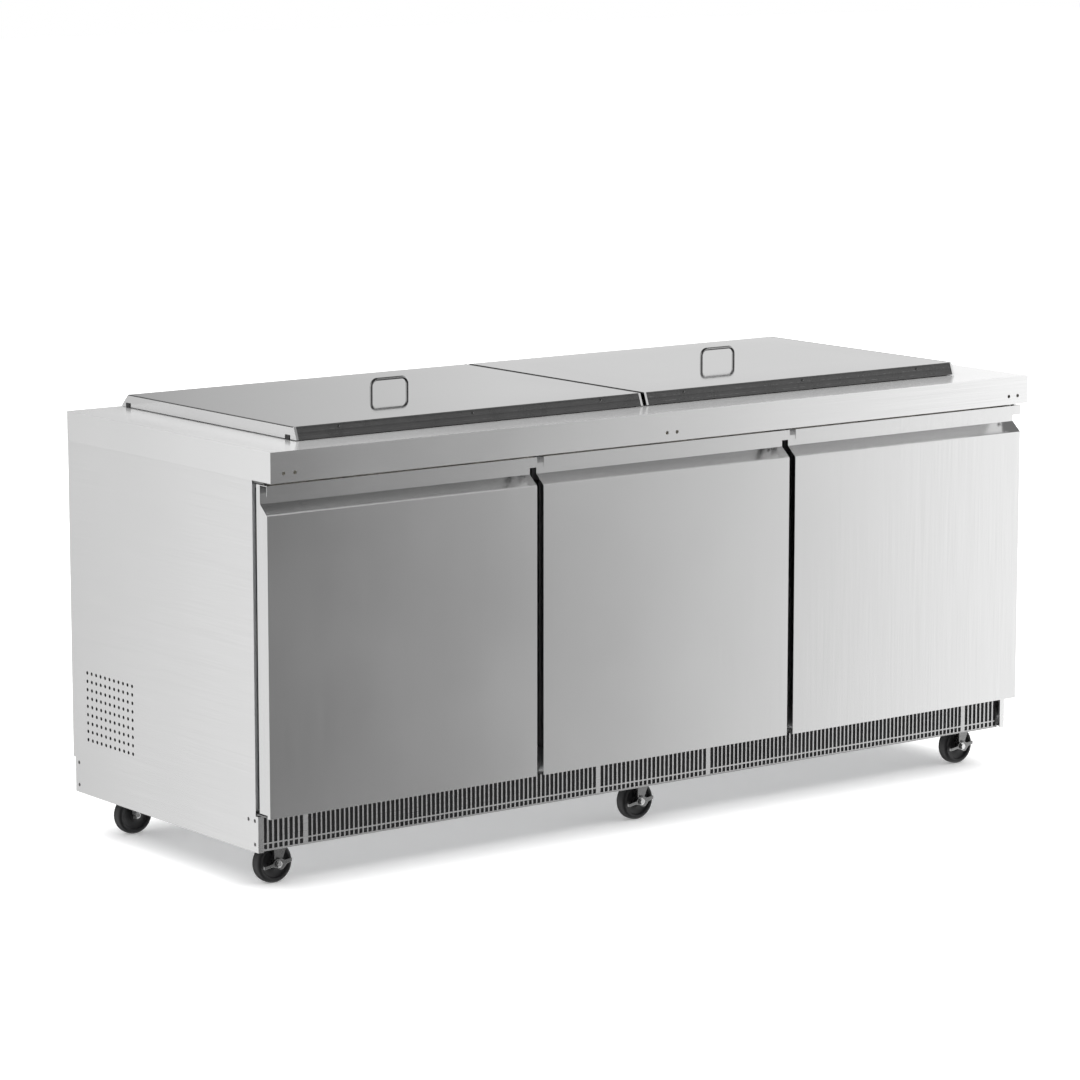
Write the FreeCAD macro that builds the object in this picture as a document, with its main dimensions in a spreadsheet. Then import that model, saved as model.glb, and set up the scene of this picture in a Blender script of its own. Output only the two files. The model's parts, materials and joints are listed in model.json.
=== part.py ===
import FreeCAD, Part
import os
import re
import Sketcher
from FreeCAD import Placement, Rotation, Vector

# Three-door refrigerated sandwich prep table on six casters.
# +X runs along the worktop, +Y towards the back, +Z up. The origin is on the floor under the middle.
# Every size is in millimetres.

SIZES = {
    # worktop
    "top_width": 1829, "top_depth": 698, "work_height": 811, "apron_height": 56, "skin": 1.2,
    "screw_hole_radius": 3.5, "screw_pair": 24, "screw_pair_edge": 40, "screw_pair_offset": 7,
    "screw_hole_drop": 39.4,
    # cabinet shell
    "body_setback": 60, "side_back_gap": 1.4, "wall": 45, "jamb_flange": 14, "rear_flange": 18,
    "ceiling_height": 700, "liner_skin": 1, "mullion_width": 60, "mullion_depth": 44,
    # machine compartment across the lower back
    "machine_depth": 240, "machine_top": 335,
    # ventilation holes in the left side
    "vent_radius": 3.4, "vent_pitch": 16.2, "vent_front": 129, "vent_low": 185.6,
    "vent_columns": 11, "vent_rows": 9,
    # slots in the back panel
    "louvre_left": -860, "louvre_step": 220, "louvre_long": 190, "louvre_low": 30,
    "louvre_high": 6, "louvre_pitch": 18, "louvre_rows": 8,
    # plinth
    "base_setback": 52, "base_back_gap": 9, "base_low": 77, "base_high": 144, "tray_floor": 100,
    "tray_skin": 1.6, "tray_setback": 14, "skirt_flange": 12, "skirt_screw_radius": 3.4,
    # grille in the plinth
    "grille_half": 902, "grille_pitch": 10.2, "grille_slot": 7.2, "grille_rail": 3.5,
    "grille_low_slot": 9, "grille_tie": 2.5, "grille_margin": 4, "grille_strip": 11,
    "grille_inner_strip": 135.5, "grille_outer_strip": 807, "filter_thick": 3,
    # doors
    "door_front_gap": 16.7, "door_thick": 34.2, "door_end_gap": 2.9, "door_gap": 15,
    "door_low": 145, "door_high": 749, "lip_height": 19, "channel_depth": 22.6,
    "facet_high": 714, "facet_low": 694.7, "gasket_inset": 8, "gasket_width": 18,
    "gasket_thick": 8.8, "pivot_inset": 7, "pivot_from_front": 17.3, "pin_radius": 3,
    "bracket_radius": 8, "bracket_thick": 2.5, "bracket_gap": 0.6, "bracket_low": 1.5,
    "bracket_high": 2.5, "low_pin_top": 17, "high_pin_bottom": 3, "running_gap": 0.08,
    # pan well
    "well_half": 775, "well_front": -234, "well_back": 296, "bar_width": 14, "bar_height": 20,
    "bar_drop": 10,
    # lids
    "lid_end_gap": 117, "lid_middle_gap": 9, "lid_front": -257, "lid_back": 343,
    "lid_lift": 1.5, "lid_edge": 25, "lid_crown": 28, "lid_front_slope": 9,
    "lid_back_slope": 24, "lid_facet": 104, "lid_core_top": 22.5,
    "trim_thick": 1.8, "trim_groove": 1, "trim_end": 5, "trim_screw_radius": 2.2,
    "trim_screw_length": 1.8, "trim_screw_proud": 0.5, "trim_screw_spread": 300,
    "bead_width": 2, "bead_depth": 1.6, "bead_proud": 0.3,
    "hinge_reach": 2, "hinge_height": 3.1, "knuckle_radius": 2.6, "hinge_pin_radius": 1.5,
    "knuckle_length": 60, "lug_thick": 4, "hinge_from_end": 120,
    "handle_span": 83, "handle_height": 32, "handle_bend": 13, "wire_radius": 3,
    "handle_offset": 2, "handle_place": 16,
    "foot_width": 14, "foot_height": 9, "foot_front": -228, "foot_back": 318, "foot_inside": 12,
    # casters
    "caster_end": 841.5, "caster_front": -229, "caster_back": 254, "wheel_radius": 38,
    "wheel_width": 24, "axle_radius": 4, "trail": 14, "leg_thick": 2.5, "leg_gap": 1.2,
    "crown_low": 80, "race_low": 84, "race_high": 94, "race_radius": 21, "kingpin_radius": 6,
    "plate_thick": 3, "plate_long": 92, "plate_wide": 68, "nut_radius": 7, "nut_height": 4,
    "pedal_thick": 6, "leg_fold": 8, "leg_fold_low": 48,
    # shelves
    "shelf_height": 430, "shelf_wire": 1.8, "shelf_rod": 3, "shelf_pitch": 30,
    "post_thick": 2.5, "post_half": 26, "wall_post": 20, "clip_long": 32, "clip_thick": 4,
    "shelf_front_gap": 14, "shelf_back_gap": 25, "shelf_wall_gap": 8, "shelf_post_gap": 5,
    # condensing unit
    "coil_left": -900, "coil_thick": 44, "coil_front": 128, "coil_long": 190, "coil_high": 200,
    "coil_plate": 4.5, "return_radius": 11, "shroud_left": -846, "shroud_skin": 2,
    "fan_radius": 80, "fan_hub": 20, "fan_depth": 14, "fan_gap": 6, "motor_radius": 32,
    "motor_long": 52, "motor_back": 34, "blade_thick": 1.5, "compressor_left": -600,
    "compressor_back": 222, "compressor_radius": 76, "compressor_height": 110,
    "compressor_lift": 52, "dome_height": 30, "feet_long": 85, "feet_wide": 60, "feet_high": 24,
    "terminal_out": 96, "terminal_half": 25, "terminal_low": 20, "terminal_high": 80,
    "line_offset": 90, "line_back": 20, "line_low": 130, "line_bend": 14, "line_start": 26,
    "tube_radius": 4,
    # evaporator
    "evap_half": 250, "evap_front": 205, "evap_back": 297, "evap_low": 560, "evap_high": 690,
    "evap_fan_radius": 50, "evap_mouth_gap": 4, "evap_hub": 14, "evap_motor_radius": 20,
    "evap_motor_long": 18, "evap_motor_back": 24, "strap_thick": 3, "strap_half": 10,
    # power inlet
    "gland_left": -700, "gland_height": 123, "gland_radius": 8,
}

DOORS = ("left", "middle", "right")
SIDES = {"left": -1, "right": 1}
CASTERS = {
    "front_left": (-1, "caster_front"), "front_middle": (0, "caster_front"),
    "front_right": (1, "caster_front"), "rear_left": (-1, "caster_back"),
    "rear_middle": (0, "caster_back"), "rear_right": (1, "caster_back"),
}

# Places used by several pieces, as formulas of the sheet's names.
FRONT = "(-top_depth / 2)"
BODY_FRONT = "(-top_depth / 2 + body_setback)"
BODY_BACK = "(top_depth / 2 - side_back_gap)"
APRON_LOW = "(work_height - apron_height)"
HALF = "(top_width / 2)"
INNER_HALF = "(top_width / 2 - wall)"
INNER_BACK = "(top_depth / 2 - side_back_gap - 2 * skin - wall - liner_skin)"
BASE_FRONT = "(-top_depth / 2 + base_setback)"
BASE_BACK = "(top_depth / 2 - base_back_gap)"
MACHINE_FRONT = "(top_depth / 2 - side_back_gap - machine_depth)"
DOOR_WIDTH = "((top_width - 2 * door_end_gap - 2 * door_gap) / 3)"
DOOR_FRONT = "(-top_depth / 2 + door_front_gap)"
DOOR_BACK = "(-top_depth / 2 + door_front_gap + door_thick)"
PIVOT_Y = "(-top_depth / 2 + door_front_gap + pivot_from_front)"
MULLION_X = "((top_width - 2 * door_end_gap - 2 * door_gap) / 6 + door_gap / 2)"
LID_WIDTH = "(top_width / 2 - lid_end_gap - lid_middle_gap / 2)"
HINGE_Y = "(lid_back + hinge_reach)"
HINGE_Z = "(work_height + hinge_height)"
WELL_DEPTH = "(well_back - well_front)"
LEG_Y = "(wheel_width / 2 + leg_gap)"
FAN_Y = "(coil_front + coil_long / 2)"
FAN_Z = "(tray_floor + tray_skin + coil_high / 2 + 5)"
TRAY_TOP = "(tray_floor + tray_skin)"
EVAP_FAN_Z = "((evap_low + evap_high) / 2)"
LINE_X = "(compressor_left + line_offset)"
LINE_Y = "(top_depth / 2 - side_back_gap - wall - line_back)"

doc = FreeCAD.newDocument("prep_table")
sheet = doc.addObject("Spreadsheet::Sheet", "Sizes")
for row, (alias, size) in enumerate(SIZES.items(), start=1):
    sheet.set(f"A{row}", alias)
    sheet.set(f"B{row}", str(size))
    sheet.setAlias(f"B{row}", alias)
doc.recompute()

nodes = []
counters = {}


def formula(text):
    """Put the sheet's name in front of every alias in a formula."""
    return re.sub(r"[a-z][a-z0-9_]*", lambda word: "Sizes." + word.group(0), str(text))


def number(text):
    """The present value of a formula."""
    return float(sheet.evalExpression(formula(text)))


def fresh(stem):
    """A new internal name for a helper object."""
    counters[stem] = counters.get(stem, 0) + 1
    return f"{stem}_{counters[stem]}"


def node(name, shape_object):
    """Mark an object as a finished sub-part."""
    shape_object.Label = name
    nodes.append(shape_object)
    return shape_object


def place(item, at, rotation=None):
    """Set an object's turn, then bind its position."""
    if rotation is not None:
        item.Placement = Placement(Vector(0, 0, 0), rotation)
    for letter, text in zip("xyz", at):
        item.setExpression(f"Placement.Base.{letter}", formula(text))
    return item


def box(low, size):
    item = doc.addObject("Part::Box", fresh("box"))
    for name, text in zip(("Length", "Width", "Height"), size):
        item.setExpression(name, formula(text))
    return place(item, low)


def slab(x_span, y_span, z_span):
    """A box given by its two limits along each axis."""
    spans = (x_span, y_span, z_span)
    return box([span[0] for span in spans], [f"({span[1]}) - ({span[0]})" for span in spans])


AXIS_TURNS = {
    "X": Rotation(Vector(0, 1, 0), 90),
    "Y": Rotation(Vector(1, 0, 0), -90),
    "Z": Rotation(),
    # square to the lids' sloping front, into the lid
    "lid front": Rotation(Vector(0, 0, 1), Vector(
        0, SIZES["lid_edge"] - SIZES["lid_lift"], -SIZES["lid_front_slope"])),
}


def cylinder(base, radius, height, axis="Z"):
    item = doc.addObject("Part::Cylinder", fresh("cylinder"))
    item.setExpression("Radius", formula(radius))
    item.setExpression("Height", formula(height))
    return place(item, base, AXIS_TURNS[axis])


def bend(centre, radius, wire, rotation, angle=90):
    """Part of a torus: a bend in a wire or tube."""
    item = doc.addObject("Part::Torus", fresh("bend"))
    item.setExpression("Radius1", formula(radius))
    item.setExpression("Radius2", formula(wire))
    item.Angle3 = angle
    return place(item, centre, rotation)


def cut(base, *tools):
    result = base
    for tool in tools:
        step = doc.addObject("Part::Cut", fresh("cut"))
        step.Base = result
        step.Tool = tool
        result = step
    return result


def fuse(*pieces):
    item = doc.addObject("Part::MultiFuse", fresh("fuse"))
    item.Shapes = list(pieces)
    return item


def group(*pieces):
    """Separate solids that share one node."""
    item = doc.addObject("Part::Compound", fresh("group"))
    item.Links = list(pieces)
    return item


def new_body():
    return doc.addObject("PartDesign::Body", fresh("body"))


def new_sketch(body, plane, offset="0"):
    sketch = body.newObject("Sketcher::SketchObject", fresh("sketch"))
    planes = {item.Role: item for item in body.Origin.OriginFeatures}
    sketch.AttachmentSupport = [(planes[plane + "_Plane"], "")]
    sketch.MapMode = "FlatFace"
    sketch.setExpression("AttachmentOffset.Base.z", formula(offset))
    return sketch


def pin_point(sketch, geometry, vertex, u_text, v_text):
    """Hold one sketch point at a place bound to the sheet."""
    for kind, text in (("DistanceX", u_text), ("DistanceY", v_text)):
        index = sketch.addConstraint(
            Sketcher.Constraint(kind, -1, 1, geometry, vertex, number(text)))
        sketch.setExpression(f"Constraints[{index}]", formula(text))


def add_outline(sketch, points):
    first = sketch.GeometryCount
    count = len(points)
    corners = [Vector(number(u), number(v), 0) for u, v in points]
    sketch.addGeometry(
        [Part.LineSegment(corners[i], corners[(i + 1) % count]) for i in range(count)], False)
    sketch.addConstraint(
        [Sketcher.Constraint("Coincident", first + i, 2, first + (i + 1) % count, 1)
         for i in range(count)])
    for i, (u, v) in enumerate(points):
        pin_point(sketch, first + i, 1, u, v)


def add_rectangle(sketch, u_span, v_span):
    corners = [(u_span[0], v_span[0]), (u_span[1], v_span[0]),
               (u_span[1], v_span[1]), (u_span[0], v_span[1])]
    add_outline(sketch, corners)


def add_circle(sketch, u_text, v_text, radius):
    first = sketch.GeometryCount
    middle = Vector(number(u_text), number(v_text), 0)
    sketch.addGeometry(Part.Circle(middle, Vector(0, 0, 1), number(radius)), False)
    pin_point(sketch, first, 3, u_text, v_text)
    index = sketch.addConstraint(Sketcher.Constraint("Radius", first, number(radius)))
    sketch.setExpression(f"Constraints[{index}]", formula(radius))


def pad(body, sketch, length):
    feature = body.newObject("PartDesign::Pad", fresh("pad"))
    feature.Profile = sketch
    feature.setExpression("Length", formula(length))
    return feature


def pocket_through(body, sketch):
    feature = body.newObject("PartDesign::Pocket", fresh("pocket"))
    feature.Profile = sketch
    feature.Type = "ThroughAll"
    feature.Midplane = True
    return feature


def prism(plane, points, length, at=("0", "0", "0"), holes=()):
    """A body padded from one outline; round holes are (u, v, radius)."""
    body = new_body()
    sketch = new_sketch(body, plane)
    add_outline(sketch, points)
    for u, v, radius in holes:
        add_circle(sketch, u, v, radius)
    pad(body, sketch, length)
    return place(body, at)


def repeat(body, feature, sketch, axis, length, count):
    pattern = body.newObject("PartDesign::LinearPattern", fresh("pattern"))
    pattern.Originals = [feature]
    pattern.Direction = (sketch, [axis])
    pattern.setExpression("Length", formula(length))
    pattern.setExpression("Occurrences", formula(count))
    body.Tip = pattern
    return pattern


def turned(points, at=("0", "0", "0"), rotation=None):
    """A body of revolution: points are (radius, height) about its own Z axis."""
    body = new_body()
    sketch = new_sketch(body, "XZ")
    add_outline(sketch, points)
    feature = body.newObject("PartDesign::Revolution", fresh("revolution"))
    feature.Profile = sketch
    feature.ReferenceAxis = (sketch, ["V_Axis"])
    feature.Angle = 360
    return place(body, at, rotation)


# ---------------------------------------------------------------- worktop and pan well

def make_worktop():
    """Sheet top with turned-down aprons, the well cut-out and three pairs of bracket holes."""
    outer = slab((f"-{HALF}", HALF), (FRONT, f"-{FRONT}"), (APRON_LOW, "work_height"))
    hollow = slab((f"-{HALF} + skin", f"{HALF} - skin"), (f"{FRONT} + skin", f"-{FRONT} - skin"),
                  (f"{APRON_LOW} - 1", "work_height - skin"))
    well = slab(("-well_half + liner_skin", "well_half - liner_skin"),
                ("well_front + liner_skin", "well_back - liner_skin"),
                (APRON_LOW, "work_height + 1"))
    pair_centres = (f"-{HALF} + screw_pair_edge", "-screw_pair_offset", f"{HALF} - screw_pair_edge")
    holes = [
        cylinder((f"{centre} + {side} * screw_pair / 2", f"{FRONT} - 1",
                  "work_height - screw_hole_drop"), "screw_hole_radius", "skin + 2", "Y")
        for centre in pair_centres for side in (-1, 1)]
    node("worktop", cut(outer, hollow, well, *holes))


def make_well():
    outer = slab(("-well_half", "well_half"), ("well_front", "well_back"),
                 ("ceiling_height", "work_height - skin"))
    inner = slab(("-well_half + liner_skin", "well_half - liner_skin"),
                 ("well_front + liner_skin", "well_back - liner_skin"),
                 ("ceiling_height - 1", "work_height"))
    node("pan_well_collar", cut(outer, inner))


def make_adapter_bars():
    """Two long bars and three short ones that divide the well into six bays for pans."""
    z_span = ("work_height - bar_drop - bar_height", "work_height - bar_drop")
    x_span = ("-well_half + liner_skin", "well_half - liner_skin")
    bars = []
    edges = ["well_front + liner_skin"]
    for third in (1, 2):
        middle = f"(well_front + {WELL_DEPTH} * {third} / 3)"
        bars.append(slab(x_span, (f"{middle} - bar_width / 2", f"{middle} + bar_width / 2"), z_span))
        edges += [f"{middle} - bar_width / 2", f"{middle} + bar_width / 2"]
    edges.append("well_back - liner_skin")
    for low, high in zip(edges[0::2], edges[1::2]):
        bars.append(slab(("-bar_width / 2", "bar_width / 2"), (low, high), z_span))
    node("pan_adapter_bars", group(*bars))


# ---------------------------------------------------------------- cabinet shell

def make_side_panels():
    """Folded side sheets; the left one has a grid of round vent holes by the condenser."""
    for name, side in SIDES.items():
        body = new_body()
        sketch = new_sketch(body, "XY")
        face = f"{side} * {HALF}"
        inner = f"{side} * ({HALF} - skin)"
        front_tip = f"{side} * ({HALF} - jamb_flange)"
        rear_tip = f"{side} * ({HALF} - rear_flange)"
        add_outline(sketch, [
            (face, BODY_FRONT), (front_tip, BODY_FRONT), (front_tip, f"{BODY_FRONT} + skin"),
            (inner, f"{BODY_FRONT} + skin"), (inner, f"{BODY_BACK} - skin"),
            (rear_tip, f"{BODY_BACK} - skin"), (rear_tip, BODY_BACK), (face, BODY_BACK)])
        pad(body, sketch, f"{APRON_LOW} - base_high")
        if side < 0:
            holes = new_sketch(body, "YZ")
            for row in range(SIZES["vent_rows"]):
                add_circle(holes, "vent_front", f"vent_low - base_high + {row} * vent_pitch",
                           "vent_radius")
            doc.recompute()
            column = pocket_through(body, holes)
            doc.recompute()
            repeat(body, column, holes, "H_Axis", "vent_pitch * (vent_columns - 1)",
                   "vent_columns")
        place(body, ("0", "0", "base_high"))
        node(f"side_panel_{name}", body)


def make_back_panel():
    """Rear sheet with a stack of slots over the machine compartment."""
    body = new_body()
    sketch = new_sketch(body, "XZ", f"-({BODY_BACK} - skin)")
    add_rectangle(sketch, (f"-{HALF} + skin", f"{HALF} - skin"), ("base_high", APRON_LOW))
    pad(body, sketch, "skin")
    slots = new_sketch(body, "XZ")
    for column in range(3):
        left = f"(louvre_left + {column} * louvre_step)"
        add_rectangle(slots, (left, f"{left} + louvre_long"),
                      ("base_high + louvre_low", "base_high + louvre_low + louvre_high"))
    doc.recompute()
    lowest = pocket_through(body, slots)
    doc.recompute()
    repeat(body, lowest, slots, "V_Axis", "louvre_pitch * (louvre_rows - 1)", "louvre_rows")
    node("back_panel", body)


def stepped_outline(front, back, floor, step_front, step_top, ceiling):
    """Side view of the cabinet or its cavity: an L that leaves the lower back free."""
    return [(front, floor), (step_front, floor), (step_front, step_top), (back, step_top),
            (back, ceiling), (front, ceiling)]


def cavity(inset, front, ceiling):
    """The cabinet's cold space, made smaller all round by an inset."""
    half = f"({INNER_HALF} - {inset})"
    points = stepped_outline(
        front, f"{BODY_BACK} - 2 * skin - wall - {inset}", f"base_high + wall + {inset}",
        f"{MACHINE_FRONT} - wall - {inset}", f"machine_top + wall + {inset}", ceiling)
    return prism("YZ", points, f"2 * {half}", at=(f"-{half}", "0", "0"))


def make_insulation():
    """Foam between the outer sheets and the liner, open at the front and at the well."""
    half = f"({HALF} - skin)"
    points = stepped_outline(
        f"{BODY_FRONT} + skin", f"{BODY_BACK} - 2 * skin", "base_high", MACHINE_FRONT,
        "machine_top", "work_height - skin")
    outer = prism("YZ", points, f"2 * {half}", at=(f"-{half}", "0", "0"))
    well = slab(("-well_half", "well_half"), ("well_front", "well_back"),
                ("ceiling_height - 1", "work_height"))
    pipe_hole = cylinder((LINE_X, LINE_Y, "machine_top - 1"),
                         "tube_radius + 2", "wall + 2")
    node("insulation", cut(outer, cavity("0", f"{BODY_FRONT} - 1", "ceiling_height"), well,
                           pipe_hole))


def make_liner():
    """Thin inner sheet of the cold space with a flange round the door openings."""
    shell = cavity("0", BODY_FRONT, "ceiling_height")
    flange = slab((f"-{HALF} + jamb_flange", f"{HALF} - jamb_flange"),
                  (BODY_FRONT, f"{BODY_FRONT} + skin"), ("base_high", APRON_LOW))
    hollow = cavity("liner_skin", f"{BODY_FRONT} - 1", "ceiling_height - liner_skin")
    well = slab(("-well_half + liner_skin", "well_half - liner_skin"),
                ("well_front + liner_skin", "well_back - liner_skin"),
                ("ceiling_height - 5", "ceiling_height + 5"))
    pipe_hole = cylinder((LINE_X, LINE_Y, "machine_top + wall - 5"),
                         "tube_radius + 2", "10")
    node("liner", cut(fuse(shell, flange), hollow, well, pipe_hole))


def make_mullions():
    """Two uprights between the door openings."""
    posts = [
        slab((f"{side} * {MULLION_X} - mullion_width / 2", f"{side} * {MULLION_X} + mullion_width / 2"),
             (BODY_FRONT, f"{BODY_FRONT} + mullion_depth"),
             ("base_high + wall + liner_skin", "ceiling_height - liner_skin"))
        for side in (-1, 1)]
    node("mullions", group(*posts))


def make_shelves():
    """One wire shelf in each bay."""
    wall_x = f"({INNER_HALF} - liner_skin)"
    front = f"({BODY_FRONT} + mullion_depth + shelf_front_gap)"
    back = f"({INNER_BACK} - shelf_back_gap)"
    spans = (
        (f"-{wall_x} + shelf_wall_gap", f"-{MULLION_X} - shelf_post_gap"),
        (f"-{MULLION_X} + shelf_post_gap", f"{MULLION_X} - shelf_post_gap"),
        (f"{MULLION_X} + shelf_post_gap", f"{wall_x} - shelf_wall_gap"))
    shelves = []
    for low, high in spans:
        width = number(f"({high}) - ({low})")
        count = int(width // SIZES["shelf_pitch"])
        step = f"((({high}) - ({low}) - 2 * shelf_rod) / {count})"
        wires = [
            cylinder((f"{low} + shelf_rod + {i} * {step}", front, "shelf_height"), "shelf_wire",
                     f"{back} - {front}", "Y")
            for i in range(count + 1)]
        rods = [
            cylinder((low, f"{front} + {share} * ({back} - {front})", "shelf_height - shelf_wire"),
                     "shelf_rod", f"({high}) - ({low})", "X")
            for share in (0.02, 0.5, 0.98)]
        shelves.append(fuse(*wires, *rods))
    node("shelves", group(*shelves))


def make_shelf_posts():
    """Upright strips with clips, at the walls and at the mullions, front and back."""
    wall_x = f"({INNER_HALF} - liner_skin)"
    columns = (
        (f"-{wall_x}", f"-{wall_x} + wall_post"),
        (f"-{MULLION_X} - post_half", f"-{MULLION_X} + post_half"),
        (f"{MULLION_X} - post_half", f"{MULLION_X} + post_half"),
        (f"{wall_x} - wall_post", wall_x))
    front = f"({BODY_FRONT} + mullion_depth)"
    clip_top = "(shelf_height - shelf_wire - shelf_rod)"
    posts = []
    for x_span in columns:
        rows = (
            ((front, f"{front} + post_thick"),
             (f"{front} + post_thick", f"{front} + post_thick + clip_long"), "base_high"),
            ((f"{INNER_BACK} - post_thick", INNER_BACK),
             (f"{INNER_BACK} - post_thick - clip_long", f"{INNER_BACK} - post_thick"),
             "machine_top"))
        for strip_y, clip_y, floor in rows:
            strip = slab(x_span, strip_y,
                         (f"{floor} + wall + liner_skin", "ceiling_height - liner_skin - 6"))
            clip = slab(x_span, clip_y, (f"{clip_top} - clip_thick", clip_top))
            posts.append(fuse(strip, clip))
    node("shelf_posts", group(*posts))


# ---------------------------------------------------------------- plinth

def make_base():
    """Open tray that carries the cabinet and the condensing unit."""
    half = f"({HALF} - skin)"
    outer = slab((f"-{half}", half), (f"{BASE_FRONT} + tray_setback", f"{BASE_BACK} - skin"),
                 ("tray_floor", "base_high"))
    hollow = slab((f"-{half} + tray_skin", f"{half} - tray_skin"),
                  (f"{BASE_FRONT} + tray_setback - 1", f"{BASE_BACK} - skin - tray_skin"),
                  ("tray_floor + tray_skin", "base_high + 1"))
    gland_hole = cylinder(("gland_left", f"{BASE_BACK} - 12", "gland_height"), "gland_radius",
                          "20", "Y")
    node("base_tray", cut(outer, hollow, gland_hole))


# Each skirt screw's place along Y and Z.
SKIRT_SCREWS = (("-286.2", "135.2"), ("-286.2", "91.6"), ("-265.4", "135.2"),
                ("326.8", "135.2"), ("326.8", "91.6"))


def make_skirts():
    """Side sheets of the plinth with their flush screws."""
    pieces = []
    for side in SIDES.values():
        face = f"{side} * {HALF}"
        inner = f"{side} * ({HALF} - skin)"
        tip = f"{side} * ({HALF} - skirt_flange)"
        sheet_body = prism("XY", [
            (face, BASE_FRONT), (tip, BASE_FRONT), (tip, f"{BASE_FRONT} + skin"),
            (inner, f"{BASE_FRONT} + skin"), (inner, f"{BASE_BACK} - skin"),
            (tip, f"{BASE_BACK} - skin"), (tip, BASE_BACK), (face, BASE_BACK)],
            "base_high - base_low", at=("0", "0", "base_low"))
        holes = [cylinder((f"{face} - 5", y, z), "skirt_screw_radius + 0.2", "10", "X")
                 for y, z in SKIRT_SCREWS]
        pieces.append(cut(sheet_body, *holes))
        start = f"{side} * {HALF} - skin" if side > 0 else f"{side} * {HALF} + 0.2"
        pieces += [cylinder((start, y, z), "skirt_screw_radius", "skin - 0.2", "X")
                   for y, z in SKIRT_SCREWS]
    node("plinth_skirts", group(*pieces))


def make_grille():
    """Slotted air intake below the doors, with plain strips between five fields of slots."""
    body = new_body()
    sketch = new_sketch(body, "XZ", f"-({BODY_FRONT} + skin)")
    add_rectangle(sketch, ("-grille_half", "grille_half"), ("base_low", "base_high"))
    pad(body, sketch, "skin")
    strip = "grille_strip / 2"
    fields = (("-grille_half + grille_margin", f"-grille_outer_strip - {strip}"),
              (f"-grille_outer_strip + {strip}", f"-grille_inner_strip - {strip}"),
              (f"-grille_inner_strip + {strip}", f"grille_inner_strip - {strip}"),
              (f"grille_inner_strip + {strip}", f"grille_outer_strip - {strip}"),
              (f"grille_outer_strip + {strip}", "grille_half - grille_margin"))
    low_z = "base_low + grille_rail"
    split_z = f"{low_z} + grille_low_slot"
    for low, high in fields:
        width = number(f"({high}) - ({low})")
        count = int((width + SIZES["grille_pitch"] - SIZES["grille_slot"]) // SIZES["grille_pitch"])
        step = f"((({high}) - ({low}) - grille_slot) / {max(count - 1, 1)})"
        slots = new_sketch(body, "XZ")
        add_rectangle(slots, (low, f"{low} + grille_slot"), (low_z, split_z))
        add_rectangle(slots, (low, f"{low} + grille_slot"),
                      (f"{split_z} + grille_tie", "base_high - grille_rail"))
        doc.recompute()
        first = pocket_through(body, slots)
        doc.recompute()
        repeat(body, first, slots, "H_Axis", f"{step} * {count - 1}", str(count))
        doc.recompute()
    node("front_grille", body)


def make_filter():
    """Black foam air filter that lies against the back of the grille."""
    near = f"({BODY_FRONT} + skin)"
    node("grille_filter", slab(("-grille_half + 1", "grille_half - 1"),
                               (near, f"{near} + filter_thick"), ("base_low + 1", "base_high - 1")))


# ---------------------------------------------------------------- doors

def door_left_edge(index):
    return f"(-{HALF} + door_end_gap + {index} * ({DOOR_WIDTH} + door_gap))"


def door_pivot_x(index):
    """The left door hangs on its left edge, the other two on their right edges."""
    if index == 0:
        return f"({door_left_edge(index)} + pivot_inset)"
    return f"({door_left_edge(index)} + {DOOR_WIDTH} - pivot_inset)"


def make_doors():
    inner_y = f"({DOOR_FRONT} + channel_depth)"
    profile = [
        (DOOR_FRONT, "door_low"), (DOOR_BACK, "door_low"), (DOOR_BACK, "door_high"),
        (DOOR_FRONT, "door_high"), (DOOR_FRONT, "door_high - lip_height"),
        (f"{DOOR_FRONT} + skin", "door_high - lip_height"),
        (f"{DOOR_FRONT} + skin", "door_high - skin"), (inner_y, "door_high - skin"),
        (inner_y, "facet_high"), (DOOR_FRONT, "facet_low")]
    core = [
        (f"{DOOR_FRONT} + skin", "door_low + skin"), (DOOR_BACK, "door_low + skin"),
        (DOOR_BACK, "door_high - skin"), (f"{inner_y} + skin", "door_high - skin"),
        (f"{inner_y} + skin", "facet_high - 0.6 * skin"),
        (f"{DOOR_FRONT} + skin", "facet_low - 0.6 * skin")]
    for index, name in enumerate(DOORS):
        left = door_left_edge(index)
        pivot = door_pivot_x(index)
        right = f"({left} + {DOOR_WIDTH})"
        reach = "(bracket_radius + bracket_gap)"
        if index == 0:
            notch_x = (f"{left} - 1", f"{pivot} + {reach}")
        else:
            notch_x = (f"{pivot} - {reach}", f"{right} + 1")
        notch = slab(notch_x, (f"{PIVOT_Y} - {reach}", f"{DOOR_BACK} + 1"),
                     ("door_low - 1", "door_low + 6"))
        pin_hole = cylinder((pivot, PIVOT_Y, "door_low"), "pin_radius + running_gap", "20")
        top_hole = cylinder((pivot, PIVOT_Y, "door_high - 5"), "pin_radius + running_gap", "10")
        outer = prism("YZ", profile, DOOR_WIDTH, at=(left, "0", "0"))
        hollow = prism("YZ", core, f"{DOOR_WIDTH} - 2 * skin", at=(f"{left} + skin", "0", "0"))
        node(f"door_{name}_shell", cut(outer, hollow, notch, pin_hole, top_hole))
        filling = prism("YZ", core, f"{DOOR_WIDTH} - 2 * skin", at=(f"{left} + skin", "0", "0"))
        node(f"door_{name}_core", cut(filling, notch, pin_hole))
        rim = "(gasket_inset + gasket_width)"
        ring = slab((f"{left} + gasket_inset", f"{right} - gasket_inset"),
                    (DOOR_BACK, f"{DOOR_BACK} + gasket_thick"),
                    ("door_low + gasket_inset", "door_high - gasket_inset"))
        window = slab((f"{left} + {rim}", f"{right} - {rim}"),
                      (f"{DOOR_BACK} - 1", f"{DOOR_BACK} + gasket_thick + 1"),
                      (f"door_low + {rim}", f"door_high - {rim}"))
        node(f"door_{name}_gasket", cut(ring, window))


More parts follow.
